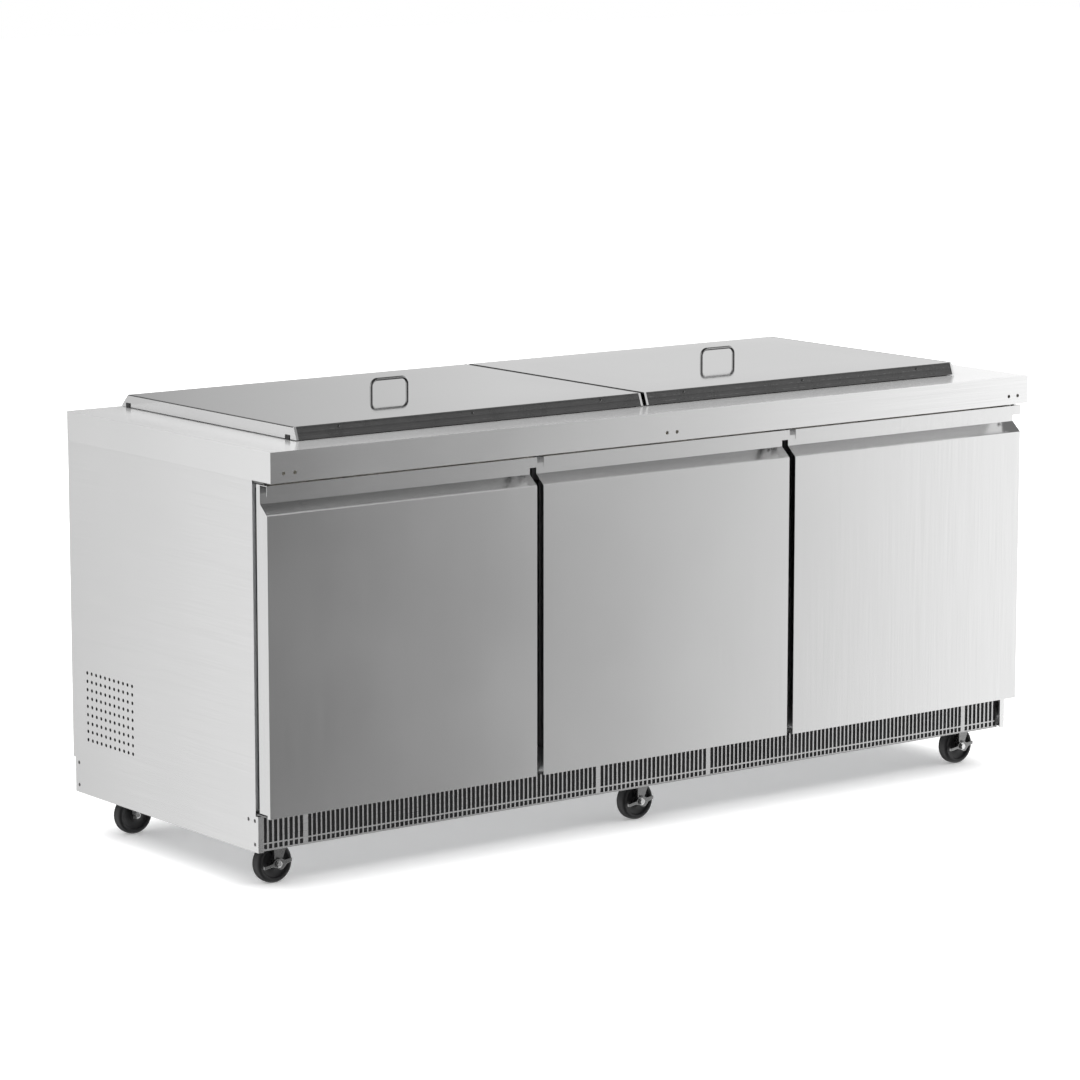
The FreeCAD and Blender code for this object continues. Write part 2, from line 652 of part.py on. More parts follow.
def make_door_brackets():
    """A plate and pin above and below each door's hinge edge. Returns the brackets."""
    levels = (("(door_low + bracket_low)", "(door_low + bracket_low + 1)", "(door_low + low_pin_top)"),
              ("(door_high + bracket_high)", "(door_high - high_pin_bottom)",
               "(door_high + bracket_high + 1)"))
    brackets = []
    for index in range(len(DOORS)):
        pivot = door_pivot_x(index)
        for plate_z, pin_low, pin_high in levels:
            arm = slab((f"{pivot} - bracket_radius", f"{pivot} + bracket_radius"),
                       (PIVOT_Y, BODY_FRONT), (plate_z, f"{plate_z} + bracket_thick"))
            eye = cylinder((pivot, PIVOT_Y, plate_z), "bracket_radius", "bracket_thick")
            pin = cylinder((pivot, PIVOT_Y, pin_low), "pin_radius", f"{pin_high} - {pin_low}")
            brackets.append(fuse(arm, eye, pin))
    return brackets


# ---------------------------------------------------------------- lids

def lid_left_edge(side):
    if side < 0:
        return f"(-{HALF} + lid_end_gap)"
    return "(lid_middle_gap / 2)"


def hinge_starts(side):
    """Left ends of a lid's two hinge knuckles."""
    left = lid_left_edge(side)
    return (f"({left} + hinge_from_end)",
            f"({left} + {LID_WIDTH} - hinge_from_end - knuckle_length)")


def make_lids():
    low = "(work_height + lid_lift)"
    edge = "(work_height + lid_edge)"
    crown = "(work_height + lid_crown)"
    profile = [
        ("lid_front", low), ("lid_back", low), ("lid_back - lid_back_slope", edge),
        ("lid_back - lid_back_slope - lid_facet", crown),
        ("lid_front + lid_front_slope + lid_facet", crown),
        ("lid_front + lid_front_slope", edge)]
    core_top = "(work_height + lid_core_top)"
    core = [
        ("lid_front + 4", low), ("lid_back - 10", low), ("lid_back - lid_back_slope - 4", core_top),
        ("lid_front + lid_front_slope + 3", core_top)]
    for name, side in SIDES.items():
        left = lid_left_edge(side)
        right = f"({left} + {LID_WIDTH})"
        outer = prism("YZ", profile, LID_WIDTH, at=(left, "0", "0"))
        slopes = []
        for end, direction in ((left, 1), (right, -1)):
            slopes.append(prism("XZ", [
                (f"{end} - {direction}", f"{edge} - lid_crown / lid_facet + lid_edge / lid_facet"),
                (f"{end} + {direction} * lid_facet", crown),
                (f"{end} + {direction} * lid_facet", f"{crown} + 5"),
                (f"{end} - {direction}", f"{crown} + 5")],
                "lid_back - lid_front", at=("0", "lid_back", "0")))
        hollow = prism("YZ", core, f"{LID_WIDTH} - 2 * skin", at=(f"{left} + skin", "0", "0"))
        channel = prism("YZ", lid_channel(), f"{LID_WIDTH} - 2 * trim_end",
                        at=(f"{left} + trim_end", "0", "0"))
        beads, corners = make_lid_beads(left, right)
        knuckles = []
        bores = []
        reliefs = []
        for start in hinge_starts(side):
            knuckles.append(cylinder((start, HINGE_Y, HINGE_Z), "knuckle_radius",
                                     "knuckle_length", "X"))
            bores.append(cylinder((f"{start} - 10", HINGE_Y, HINGE_Z),
                                  "hinge_pin_radius + running_gap", "knuckle_length + 20", "X"))
            for lug_start in (f"({start} - lug_thick)", f"({start} + knuckle_length)"):
                reliefs.append(slab((f"{lug_start} - 0.6", f"{lug_start} + lug_thick + 0.6"),
                                    (f"{HINGE_Y} - 4", f"{HINGE_Y} + 4"),
                                    ("work_height", f"{HINGE_Z} + 5")))
        shell = cut(outer, *slopes, hollow, channel, *corners, *reliefs)
        joined = fuse(shell, *knuckles)
        node(f"lid_{name}_shell", cut(joined, *bores))
        filling = prism("YZ", core, f"{LID_WIDTH} - 2 * skin", at=(f"{left} + skin", "0", "0"))
        node(f"lid_{name}_core", filling)
        make_lid_trim(name, left, beads)
        make_lid_handle(name, side, left, crown)
        make_lid_feet(name, left, right)


def on_lid_front(share, depth="0"):
    """A point on the lid's sloping front: share goes from its foot to its top, depth goes into it."""
    return (f"(lid_front + lid_front_slope * {share} + {depth})",
            f"(work_height + lid_lift + (lid_edge - lid_lift) * {share})")


def lid_channel():
    """Side view of the recess that takes the front trim, run past both ends of the slope."""
    foot = on_lid_front(-0.1, "trim_thick")
    head = on_lid_front(1.1, "trim_thick")
    return [(f"{foot[0]} - 20", foot[1]), foot, head, (f"{foot[0]} - 20", head[1])]


def make_lid_trim(name, left, beads):
    """Dark trim of a lid: a grooved strip along its front, held by three screws, and the end beads."""
    steps = ((0, "0"), (0.22, "0"), (0.22, "trim_groove"), (0.5, "trim_groove"), (0.5, "0"),
             (0.62, "0"), (0.62, "trim_groove"), (0.9, "trim_groove"), (0.9, "0"), (1, "0"),
             (1, "trim_thick"), (0, "trim_thick"))
    strip = prism("YZ", [on_lid_front(share, depth) for share, depth in steps],
                  f"{LID_WIDTH} - 2 * trim_end", at=(f"{left} + trim_end", "0", "0"))
    y_text, z_text = on_lid_front(0.76, "0 - trim_screw_proud")
    places = [f"({left} + {LID_WIDTH} / 2 + {step} * trim_screw_spread)" for step in (-1, 0, 1)]
    holes, screws = (
        [cylinder((x_text, y_text, z_text), radius, "trim_screw_length", "lid front")
         for x_text in places]
        for radius in ("trim_screw_radius + 0.05", "trim_screw_radius"))
    node(f"lid_{name}_front_trim", group(cut(strip, *holes), *screws, *beads))


def make_lid_beads(left, right):
    """Dark beads let into the lid's top corners at both ends, and the recesses for them."""
    edge = "(work_height + lid_edge)"
    y_span = ("lid_front + lid_front_slope + 2", "lid_back - lid_back_slope - 2")
    beads = []
    recesses = []
    for end, direction in ((left, 1), (right, -1)):
        inner = f"{end} + {direction} * bead_width"
        outer = f"{end} - {direction}"
        bead_x, recess_x = ((low, inner) if direction > 0 else (inner, low) for low in (end, outer))
        beads.append(slab(bead_x, y_span, (f"{edge} - bead_depth", f"{edge} + bead_proud")))
        recesses.append(slab(recess_x, y_span, (f"{edge} - bead_depth", f"{edge} + 5")))
    return beads, recesses


def make_lid_handle(name, side, left, base):
    """Upright wire pull with two round bends."""
    middle = f"({left} + {LID_WIDTH} / 2 + {side} * handle_offset)"
    top = f"({base} + handle_height - wire_radius)"
    pieces = [cylinder((f"{middle} - handle_span / 2 + handle_bend", "handle_place", top),
                       "wire_radius", "handle_span - 2 * handle_bend", "X")]
    for direction, turn in ((-1, 180), (1, 90)):
        leg_x = f"({middle} + {direction} * handle_span / 2)"
        pieces.append(cylinder((leg_x, "handle_place", base), "wire_radius",
                               f"{top} - {base} - handle_bend"))
        upright = Rotation(Vector(1, 0, 0), 90).multiply(Rotation(Vector(0, 0, 1), turn - 90))
        pieces.append(bend((f"{leg_x} - {direction} * handle_bend", "handle_place",
                            f"{top} - handle_bend"), "handle_bend", "wire_radius", upright))
    node(f"lid_{name}_handle", fuse(*pieces))


def make_lid_feet(name, left, right):
    """Rubber corner blocks that carry the lid on the worktop."""
    feet = []
    for y_text in ("foot_front", "foot_back"):
        y_span = (f"{y_text} - foot_width / 2", f"{y_text} + foot_width / 2")
        for end, direction in ((left, 1), (right, -1)):
            spans = ((f"{end} - {direction} * 1.5", end), (end, f"{end} + {direction} * foot_inside"))
            outside, under = (span if direction > 0 else span[::-1] for span in spans)
            side_block = slab(outside, y_span, ("work_height", "work_height + foot_height"))
            pad_block = slab(under, y_span, ("work_height", "work_height + lid_lift"))
            feet.append(fuse(side_block, pad_block))
    node(f"lid_{name}_feet", group(*feet))


def make_lid_brackets():
    """Lugs and pins on the worktop's back edge. Returns the brackets."""
    hinges = []
    for side in SIDES.values():
        for start in hinge_starts(side):
            lugs = [
                slab((lug, f"{lug} + lug_thick"), (f"{HINGE_Y} - 2.4", f"{HINGE_Y} + 2.4"),
                     ("work_height", f"{HINGE_Z} + 2.4"))
                for lug in (f"({start} - lug_thick - 0.4)", f"({start} + knuckle_length + 0.4)")]
            pin = cylinder((f"{start} - lug_thick", HINGE_Y, HINGE_Z), "hinge_pin_radius",
                           "knuckle_length + 2 * lug_thick", "X")
            hinges.append(fuse(pin, *lugs))
    return hinges


def make_hinge_brackets():
    """All fixed hinge brackets: six for the doors and four for the lids."""
    node("hinge_brackets", group(*make_door_brackets(), *make_lid_brackets()))


# ---------------------------------------------------------------- casters

def make_casters():
    plates = []
    top = "tray_floor"
    for name, (side, y_text) in CASTERS.items():
        wheel_x = f"({side} * caster_end)"
        swivel_x = f"({wheel_x} + trail)"
        plate = slab((f"{swivel_x} - plate_long / 2", f"{swivel_x} + plate_long / 2"),
                     (f"{y_text} - plate_wide / 2", f"{y_text} + plate_wide / 2"),
                     (f"{top} - plate_thick", top))
        kingpin = cylinder((swivel_x, y_text, "crown_low - 1"), "kingpin_radius",
                           f"{top} - plate_thick - crown_low + 2")
        plates.append(fuse(plate, kingpin))
        make_fork(name, wheel_x, swivel_x, y_text)
        make_wheel(name, wheel_x, y_text)
        if name.startswith("front"):
            make_pedal(name, wheel_x, y_text)
    node("caster_plates", group(*plates))


def make_fork(name, wheel_x, swivel_x, y_text):
    """Two legs with folded edges under a round race, and the axle bolt as a second solid."""
    leg = [("-8", "32"), ("8", "32"), ("13", "45"), ("26", "76"), ("28", "crown_low + 1"),
           ("-10", "crown_low + 1"), ("-10", "45")]
    legs = [
        prism("XZ", leg, "leg_thick", at=(wheel_x, y_leg, "0"),
              holes=(("0", "wheel_radius", "axle_radius"),))
        for y_leg in (f"{y_text} - {LEG_Y}", f"{y_text} + {LEG_Y} + leg_thick")]
    folds = [
        slab((f"{wheel_x} - 10", f"{wheel_x} - 10 + leg_thick"), y_span,
             ("leg_fold_low", "crown_low + 1"))
        for y_span in ((f"{y_text} - {LEG_Y} - leg_thick - leg_fold", f"{y_text} - {LEG_Y}"),
                       (f"{y_text} + {LEG_Y}", f"{y_text} + {LEG_Y} + leg_thick + leg_fold"))]
    crown = slab((f"{wheel_x} - 10", f"{wheel_x} + 28"),
                 (f"{y_text} - {LEG_Y} - leg_thick", f"{y_text} + {LEG_Y} + leg_thick"),
                 ("crown_low", "race_low"))
    race = cylinder((swivel_x, y_text, "race_low"), "race_radius", "race_high - race_low")
    bore = cylinder((swivel_x, y_text, "crown_low - 5"), "kingpin_radius + running_gap", "30")
    fork = cut(fuse(*legs, *folds, crown, race), bore)
    reach = "(pedal_thick + 0.6)" if name.startswith("front") else "0"
    start = f"({y_text} - {LEG_Y} - leg_thick - {reach})"
    end = f"({y_text} + {LEG_Y} + leg_thick)"
    shank = cylinder((wheel_x, start, "wheel_radius"), "axle_radius", f"{end} - {start}", "Y")
    heads = [cylinder((wheel_x, head, "wheel_radius"), "nut_radius", "nut_height", "Y")
             for head in (f"{start} - nut_height", end)]
    node(f"caster_{name}_fork", group(fork, fuse(shank, *heads)))


def make_wheel(name, wheel_x, y_text):
    """Solid wheel with a rounded tread and recessed faces."""
    half = "(wheel_width / 2)"
    wheel = turned([
        ("axle_radius + running_gap", f"-{half}"), ("12", f"-{half}"), ("14", f"-{half} + 4"),
        ("27", f"-{half} + 4"), ("29", f"-{half} + 0.5"), ("34", f"-{half} + 0.5"),
        ("wheel_radius - 1.2", f"-{half} + 3.2"), ("wheel_radius", f"-{half} + 7"),
        ("wheel_radius", f"{half} - 7"), ("wheel_radius - 1.2", f"{half} - 3.2"),
        ("34", f"{half} - 0.5"), ("29", f"{half} - 0.5"), ("27", f"{half} - 4"),
        ("14", f"{half} - 4"), ("12", half), ("axle_radius + running_gap", half)],
        at=(wheel_x, y_text, "wheel_radius"), rotation=Rotation(Vector(1, 0, 0), -90))
    node(f"caster_{name}_wheel", wheel)


def make_pedal(name, wheel_x, y_text):
    """Rocking side brake on the front of each front caster."""
    outline = [
        ("-30", "30.5"), ("-12", "33.5"), ("-3", "31"), ("5", "26.5"), ("11", "28"), ("18", "36"),
        ("30", "39.5"), ("30", "45.5"), ("13", "44"), ("6", "48"), ("-6", "47"), ("-12", "39.5"),
        ("-30", "36.5")]
    pedal = prism("XZ", outline, "pedal_thick",
                  at=(wheel_x, f"{y_text} - {LEG_Y} - leg_thick - 0.3", "0"),
                  holes=(("0", "wheel_radius", "axle_radius + running_gap"),))
    node(f"caster_{name}_brake", pedal)


# ---------------------------------------------------------------- cooling

def make_fan(name, hub_at, axis, radius, hub_radius):
    """Hub with four pitched blades, each a little shorter than a quarter of the circle."""
    root = number(hub_radius) - 2 * SIZES["blade_thick"]
    chord_share = 0.42
    hub = cylinder(hub_at, hub_radius, "fan_depth", axis)
    hub_place = Placement(Vector(*(number(text) for text in hub_at)), AXIS_TURNS[axis])
    blades = []
    for quarter in range(4):
        blade = doc.addObject("Part::Box", fresh("blade"))
        blade.setExpression("Length", formula(f"{radius} - {hub_radius} + 2 * blade_thick"))
        blade.setExpression("Width", formula(f"{radius} * {chord_share}"))
        blade.setExpression("Height", formula("blade_thick"))
        spin = Rotation(Vector(0, 0, 1), 90 * quarter)
        pitch = Rotation(Vector(1, 0, 0), 22)
        start = Vector(root, -number(radius) * chord_share / 2, number("fan_depth / 2 - 6"))
        local = Placement(spin.multVec(start), spin.multiply(pitch))
        blade.Placement = hub_place.multiply(local)
        blades.append(blade)
    node(name, fuse(hub, *blades))


def make_condenser():
    """Fin block between two tube plates, with return bends on the front one."""
    coil_right = "(coil_left + coil_thick)"
    coil_top = f"{TRAY_TOP} + coil_high"
    coil_end = "(coil_front + coil_long)"
    fins = slab(("coil_left", coil_right), ("coil_front + 4", f"{coil_end} - 4"),
                (TRAY_TOP, coil_top))
    plates = [slab(("coil_left - 2", f"{coil_right} + 2"), (y, f"{y} + coil_plate"),
                   (TRAY_TOP, f"{coil_top} + 4"))
              for y in ("(coil_front)", f"({coil_end} - coil_plate)")]
    upright = Rotation(Vector(0, 1, 0), 90).multiply(Rotation(Vector(0, 0, 1), 180))
    returns = [
        bend(("coil_left + coil_thick / 2", "coil_front + 0.5", f"{TRAY_TOP} + {level}"),
             "return_radius", "tube_radius", upright, 180)
        for level in (30, 70, 110, 150)]
    node("condenser_coil", fuse(fins, *plates, *returns))


def make_condenser_fan():
    """Fan shroud, the motor on its stand, and the fan between them."""
    motor_left = "(shroud_left + motor_back)"
    shroud = slab(("shroud_left", "shroud_left + shroud_skin"),
                  ("coil_front", "coil_front + coil_long"), (TRAY_TOP, f"{TRAY_TOP} + coil_high + 4"))
    ring = cylinder(("shroud_left - 5", FAN_Y, FAN_Z), "fan_radius + fan_gap", "12", "X")
    motor = cylinder((motor_left, FAN_Y, FAN_Z), "motor_radius", "motor_long", "X")
    shaft = cylinder(("shroud_left + fan_gap + fan_depth", FAN_Y, FAN_Z), "tube_radius",
                     "motor_back - fan_depth", "X")
    foot = slab((f"{motor_left} + 10", f"{motor_left} + 40"), (f"{FAN_Y} - 40", f"{FAN_Y} + 40"),
                (TRAY_TOP, f"{TRAY_TOP} + 3"))
    stand = slab((f"{motor_left} + 22", f"{motor_left} + 28"), (f"{FAN_Y} - 20", f"{FAN_Y} + 20"),
                 (TRAY_TOP, f"{FAN_Z} - 20"))
    node("condenser_fan_motor", group(cut(shroud, ring), fuse(motor, shaft, foot, stand)))
    make_fan("condenser_fan", ("shroud_left + fan_gap", FAN_Y, FAN_Z), "X", "fan_radius", "fan_hub")


def make_compressor():
    """Domed steel can on a foot plate, with its terminal box on the right."""
    low = f"({TRAY_TOP} + compressor_lift)"
    drum = cylinder(("compressor_left", "compressor_back", low), "compressor_radius",
                    "compressor_height")
    domes = []
    for level in (low, f"{low} + compressor_height"):
        dome = doc.addObject("Part::Ellipsoid", fresh("dome"))
        dome.setExpression("Radius1", formula("dome_height"))
        dome.setExpression("Radius2", formula("compressor_radius"))
        domes.append(place(dome, ("compressor_left", "compressor_back", level)))
    feet_plate = slab(("compressor_left - feet_long", "compressor_left + feet_long"),
                      ("compressor_back - feet_wide", "compressor_back + feet_wide"),
                      (TRAY_TOP, f"{TRAY_TOP} + feet_high"))
    terminal = slab(("compressor_left + 60", "compressor_left + terminal_out"),
                    ("compressor_back - terminal_half", "compressor_back + terminal_half"),
                    (f"{low} + terminal_low", f"{low} + terminal_high"))
    node("compressor", fuse(drum, *domes, feet_plate, terminal))


def make_evaporator():
    """Coil, sheet cover with its fan motor, and fan, high on the back of the middle bay."""
    fins = slab(("-evap_half + 24", "evap_half - 24"), ("evap_back - 42", "evap_back - 4"),
                ("evap_low + 8", "evap_high - 8"))
    plates = [slab((x, f"{x} + 2"), ("evap_back - 44", "evap_back - 2"),
                   ("evap_low + 5", "evap_high - 5"))
              for x in ("(-evap_half + 23)", "(evap_half - 25)")]
    node("evaporator_coil", fuse(fins, *plates))

    outer = slab(("-evap_half", "evap_half"), ("evap_front", "evap_back + 2"),
                 ("evap_low", "evap_high"))
    hollow = slab(("-evap_half + skin", "evap_half - skin"), ("evap_front + skin", "evap_back + 3"),
                  ("evap_low - 1", "evap_high - skin"))
    mouth = cylinder(("0", "evap_front - 5", EVAP_FAN_Z), "evap_fan_radius + evap_mouth_gap",
                     "10", "Y")
    line_slot = slab(("-evap_half - 1", "-evap_half + 2"), ("evap_back - 22", "evap_back - 8"),
                     ("evap_low + 22", "evap_low + 38"))
    motor = cylinder(("0", "evap_front + evap_motor_back", EVAP_FAN_Z), "evap_motor_radius",
                     "evap_motor_long", "Y")
    strap = slab(("-evap_half + skin", "evap_half - skin"),
                 ("evap_front + evap_motor_back + 10",
                  "evap_front + evap_motor_back + 10 + strap_thick"),
                 (f"{EVAP_FAN_Z} - strap_half", f"{EVAP_FAN_Z} + strap_half"))
    node("evaporator_cover", group(cut(outer, hollow, mouth, line_slot), fuse(motor, strap)))
    make_fan("evaporator_fan", ("0", "evap_front + fan_gap", EVAP_FAN_Z), "Y", "evap_fan_radius",
             "evap_hub")


def make_refrigerant_line():
    """Suction tube from the compressor up through the step and across to the evaporator."""
    level = "(evap_low + 30)"
    low = f"({TRAY_TOP} + line_low)"
    riser = cylinder((LINE_X, LINE_Y, f"{low} + line_bend"), "tube_radius",
                     f"{level} - {low} - 2 * line_bend")
    corner = bend((f"{LINE_X} + line_bend", LINE_Y, f"{level} - line_bend"), "line_bend",
                  "tube_radius", Rotation(Vector(1, 0, 0), 90).multiply(Rotation(Vector(0, 0, 1), 90)))
    run = cylinder((f"{LINE_X} + line_bend", LINE_Y, level), "tube_radius",
                   f"-evap_half + 23 - {LINE_X} - line_bend", "X")
    elbow = bend((LINE_X, f"{LINE_Y} - line_bend", f"{low} + line_bend"), "line_bend",
                 "tube_radius", Rotation(Vector(0, 1, 0), 90))
    tail = cylinder((LINE_X, "compressor_back + line_start", low), "tube_radius",
                    f"{LINE_Y} - line_bend - compressor_back - line_start", "Y")
    node("refrigerant_line", fuse(riser, corner, run, elbow, tail))


def make_gland():
    """Cable gland where the supply lead enters the plinth's back."""
    gland = turned([
        ("4", "-6"), ("gland_radius - running_gap", "-6"),
        ("gland_radius - running_gap", "tray_skin"),
        ("11", "tray_skin"), ("11", "tray_skin + 4"), ("8.5", "tray_skin + 5"),
        ("7", "tray_skin + 9.6"), ("4", "tray_skin + 9.6")],
        at=("gland_left", f"{BASE_BACK} - skin - tray_skin", "gland_height"),
        rotation=Rotation(Vector(1, 0, 0), -90))
    node("power_inlet_gland", gland)


for make in (make_worktop, make_well, make_adapter_bars, make_side_panels, make_back_panel,
             make_insulation, make_liner, make_mullions, make_shelves, make_shelf_posts,
             make_base, make_skirts, make_grille, make_filter, make_doors, make_lids,
             make_hinge_brackets, make_casters, make_condenser, make_condenser_fan,
             make_compressor, make_evaporator, make_refrigerant_line, make_gland):
    make()

doc.recompute()
faults = [item.Name for item in doc.Objects if {"Invalid", "Error"} & set(item.State)]
for item in nodes:
    shape = item.Shape
    if shape.isNull() or not shape.isValid() or not shape.Solids:
        faults.append(item.Label)
if faults:
    raise SystemExit("failed objects: " + ", ".join(faults))

os.makedirs("parts", exist_ok=True)
for item in nodes:
    item.Shape.exportStep(f"parts/{item.Label}.step")
    print(item.Label, len(item.Shape.Solids), "solids", round(item.Shape.Volume / 1000), "cm3")
print(len(nodes), "nodes")
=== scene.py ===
"""How the sandwich prep table looks: steel sheets with folded edges, rubber seals, casters and cooling parts."""

import json
import math

import bmesh
import bpy
from mathutils import Matrix, Vector

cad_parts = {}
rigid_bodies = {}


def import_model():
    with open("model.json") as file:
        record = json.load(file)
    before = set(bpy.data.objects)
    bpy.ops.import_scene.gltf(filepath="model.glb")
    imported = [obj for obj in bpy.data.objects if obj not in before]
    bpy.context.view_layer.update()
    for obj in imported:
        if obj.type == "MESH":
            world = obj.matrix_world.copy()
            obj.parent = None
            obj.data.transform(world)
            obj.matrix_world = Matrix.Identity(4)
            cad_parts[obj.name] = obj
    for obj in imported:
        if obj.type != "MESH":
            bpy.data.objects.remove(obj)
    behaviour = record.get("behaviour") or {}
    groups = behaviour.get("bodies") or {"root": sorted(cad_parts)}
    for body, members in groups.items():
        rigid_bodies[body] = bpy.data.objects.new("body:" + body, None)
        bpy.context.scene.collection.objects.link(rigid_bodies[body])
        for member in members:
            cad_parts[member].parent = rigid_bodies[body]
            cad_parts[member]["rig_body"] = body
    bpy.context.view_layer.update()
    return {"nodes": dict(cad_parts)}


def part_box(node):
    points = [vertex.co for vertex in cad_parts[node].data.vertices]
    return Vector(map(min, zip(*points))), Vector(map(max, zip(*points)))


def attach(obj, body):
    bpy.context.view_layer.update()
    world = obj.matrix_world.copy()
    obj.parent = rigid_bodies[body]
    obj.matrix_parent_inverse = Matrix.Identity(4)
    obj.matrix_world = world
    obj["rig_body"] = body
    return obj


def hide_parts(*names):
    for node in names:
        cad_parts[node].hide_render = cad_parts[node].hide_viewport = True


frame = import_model()

MM = 0.001
EDGE_LAYER = "folded_edge"
SCREW_REACH = 15 * MM
WELD = 0.002 * MM
FLAT = math.radians(0.6)
DOORS = ("left", "middle", "right")
SIDES = ("left", "right")
CORNERS = ("front_left", "front_middle", "front_right", "rear_left", "rear_middle", "rear_right")
BRAKED = CORNERS[:3]
# noise scale on each axis, for grain that runs along one of them
GRAIN = {
    "x": (5.0, 1400.0, 1400.0),
    "y": (1400.0, 5.0, 1400.0),
    "z": (1400.0, 1400.0, 5.0),
    "none": (260.0, 260.0, 260.0),
}


# ---------------------------------------------------------------- materials

def colour_sockets(sockets):
    return [s for s in sockets if s.type == "RGBA"]


class Graph:
    """A material's node tree with short calls for the nodes used here."""

    def __init__(self, name):
        self.material = bpy.data.materials.new(name)
        self.material.use_nodes = True
        self.tree = self.material.node_tree
        self.shader = self.tree.nodes["Principled BSDF"]
        self.place = self.add("ShaderNodeTexCoord").outputs["Object"]

    def add(self, kind):
        return self.tree.nodes.new(kind)

    def link(self, source, target):
        self.tree.links.new(source, target)

    def noise(self, scale, detail=2.0, stretch=None):
        """Noise in the row frame. Stretch gives a scale for each axis, for grain that runs one way."""
        node = self.add("ShaderNodeTexNoise")
        node.inputs["Scale"].default_value = scale
        node.inputs["Detail"].default_value = detail
        if stretch is None:
            self.link(self.place, node.inputs["Vector"])
        else:
            mapping = self.add("ShaderNodeMapping")
            mapping.inputs["Scale"].default_value = stretch
            self.link(self.place, mapping.inputs["Vector"])
            self.link(mapping.outputs["Vector"], node.inputs["Vector"])
        return node.outputs["Fac"]

    def cells(self, scale):
        node = self.add("ShaderNodeTexVoronoi")
        node.inputs["Scale"].default_value = scale
        self.link(self.place, node.inputs["Vector"])
        return node

    def spread(self, value, low, high, start=0.3, end=0.7):
        """Value from start to end becomes low to high."""
        node = self.add("ShaderNodeMapRange")
        node.inputs["From Min"].default_value = start
        node.inputs["From Max"].default_value = end
        node.inputs["To Min"].default_value = low
        node.inputs["To Max"].default_value = high
        self.link(value, node.inputs["Value"])
        return node.outputs["Result"]

    def math(self, operation, first, second):
        node = self.add("ShaderNodeMath")
        node.operation = operation
        for value, socket in ((first, node.inputs[0]), (second, node.inputs[1])):
            if isinstance(value, (int, float)):
                socket.default_value = value
            else:
                self.link(value, socket)
        return node.outputs["Value"]

    def mix(self, factor, first, second):
        """Colour that goes from first to second with factor. Each is a colour or a socket."""
        node = self.add("ShaderNodeMix")
        node.data_type = "RGBA"
        self.link(factor, node.inputs["Factor"])
        for value, socket in zip((first, second), colour_sockets(node.inputs)):
            if isinstance(value, tuple):
                socket.default_value = (*value, 1.0)
            else:
                self.link(value, socket)
        return colour_sockets(node.outputs)[0]

    def edges(self):
        """1 on the rounded folds and cut edges of a sheet, 0 elsewhere."""
        node = self.add("ShaderNodeAttribute")
        node.attribute_name = EDGE_LAYER
        return node.outputs["Fac"]

    def bump(self, height, strength, distance):
        node = self.add("ShaderNodeBump")
        node.inputs["Strength"].default_value = strength
        node.inputs["Distance"].default_value = distance
        self.link(height, node.inputs["Height"])
        self.link(node.outputs["Normal"], self.shader.inputs["Normal"])

    def colour(self, value):
        self.link(value, self.shader.inputs["Base Color"])

    def roughness(self, value):
        self.link(value, self.shader.inputs["Roughness"])


def shade(grey, factor):
    return tuple(channel * factor for channel in grey)


def sheet_metal(name, grey, roughness, grain, grain_depth=0.05, rough_spread=0.06, painted_top_light=0.0):
    """Brushed sheet: fine lines along the grain, faint rolling clouds, brighter and rougher at worn folds.
    The last argument is how much of the light scatters on upward faces. They are made less metallic so they catch
    the overhead lamp: a painted lighter top, not wiping or scratches."""
    g = Graph(name)
    g.shader.inputs["Metallic"].default_value = 1.0
    # painted lighter top: faces that point up lose metal shine and scatter the overhead lamp's light
    if painted_top_light:
        axes = g.add("ShaderNodeSeparateXYZ")
        g.link(g.add("ShaderNodeNewGeometry").outputs["Normal"], axes.inputs["Vector"])
        g.link(g.spread(axes.outputs["Z"], 1.0, 1.0 - painted_top_light, 0.6, 0.95), g.shader.inputs["Metallic"])
    lines = g.noise(1.0, 3.0, GRAIN[grain])
    clouds = g.noise(2.6, 3.0)
    scuffs = g.noise(55.0, 4.0)
    worn = g.math("MULTIPLY", g.edges(), g.spread(scuffs, 0.0, 1.0, 0.42, 0.6))
    tone = g.mix(g.spread(clouds, 0.0, 1.0), shade(grey, 0.965), shade(grey, 1.03))
    tone = g.mix(g.spread(lines, 0.0, 0.5), tone, shade(grey, 0.93))
    g.colour(g.mix(worn, tone, shade(grey, 1.12)))
    rough = g.spread(lines, roughness - rough_spread, roughness + rough_spread)
    rough = g.math("ADD", rough, g.spread(clouds, -0.02, 0.03))
    rough = g.math("ADD", rough, g.math("MULTIPLY", worn, 0.14))
    g.roughness(rough)
    g.bump(lines, grain_depth, 0.0004)
    return g.material


def galvanised(name, grey):
    """Zinc coating with flat crystals that differ a little in tone and shine."""
    g = Graph(name)
    g.shader.inputs["Metallic"].default_value = 0.9
    crystals = g.cells(95.0).outputs["Color"]
    clouds = g.noise(7.0, 3.0)
    tone = g.mix(g.spread(crystals, 0.0, 1.0, 0.1, 0.9), shade(grey, 0.86), shade(grey, 1.08))
    g.colour(g.mix(g.spread(clouds, 0.0, 0.5), tone, shade(grey, 0.9)))
    g.roughness(g.math("ADD", g.spread(crystals, 0.34, 0.5, 0.1, 0.9), g.spread(clouds, -0.03, 0.05)))
    g.bump(crystals, 0.04, 0.0003)
    return g.material


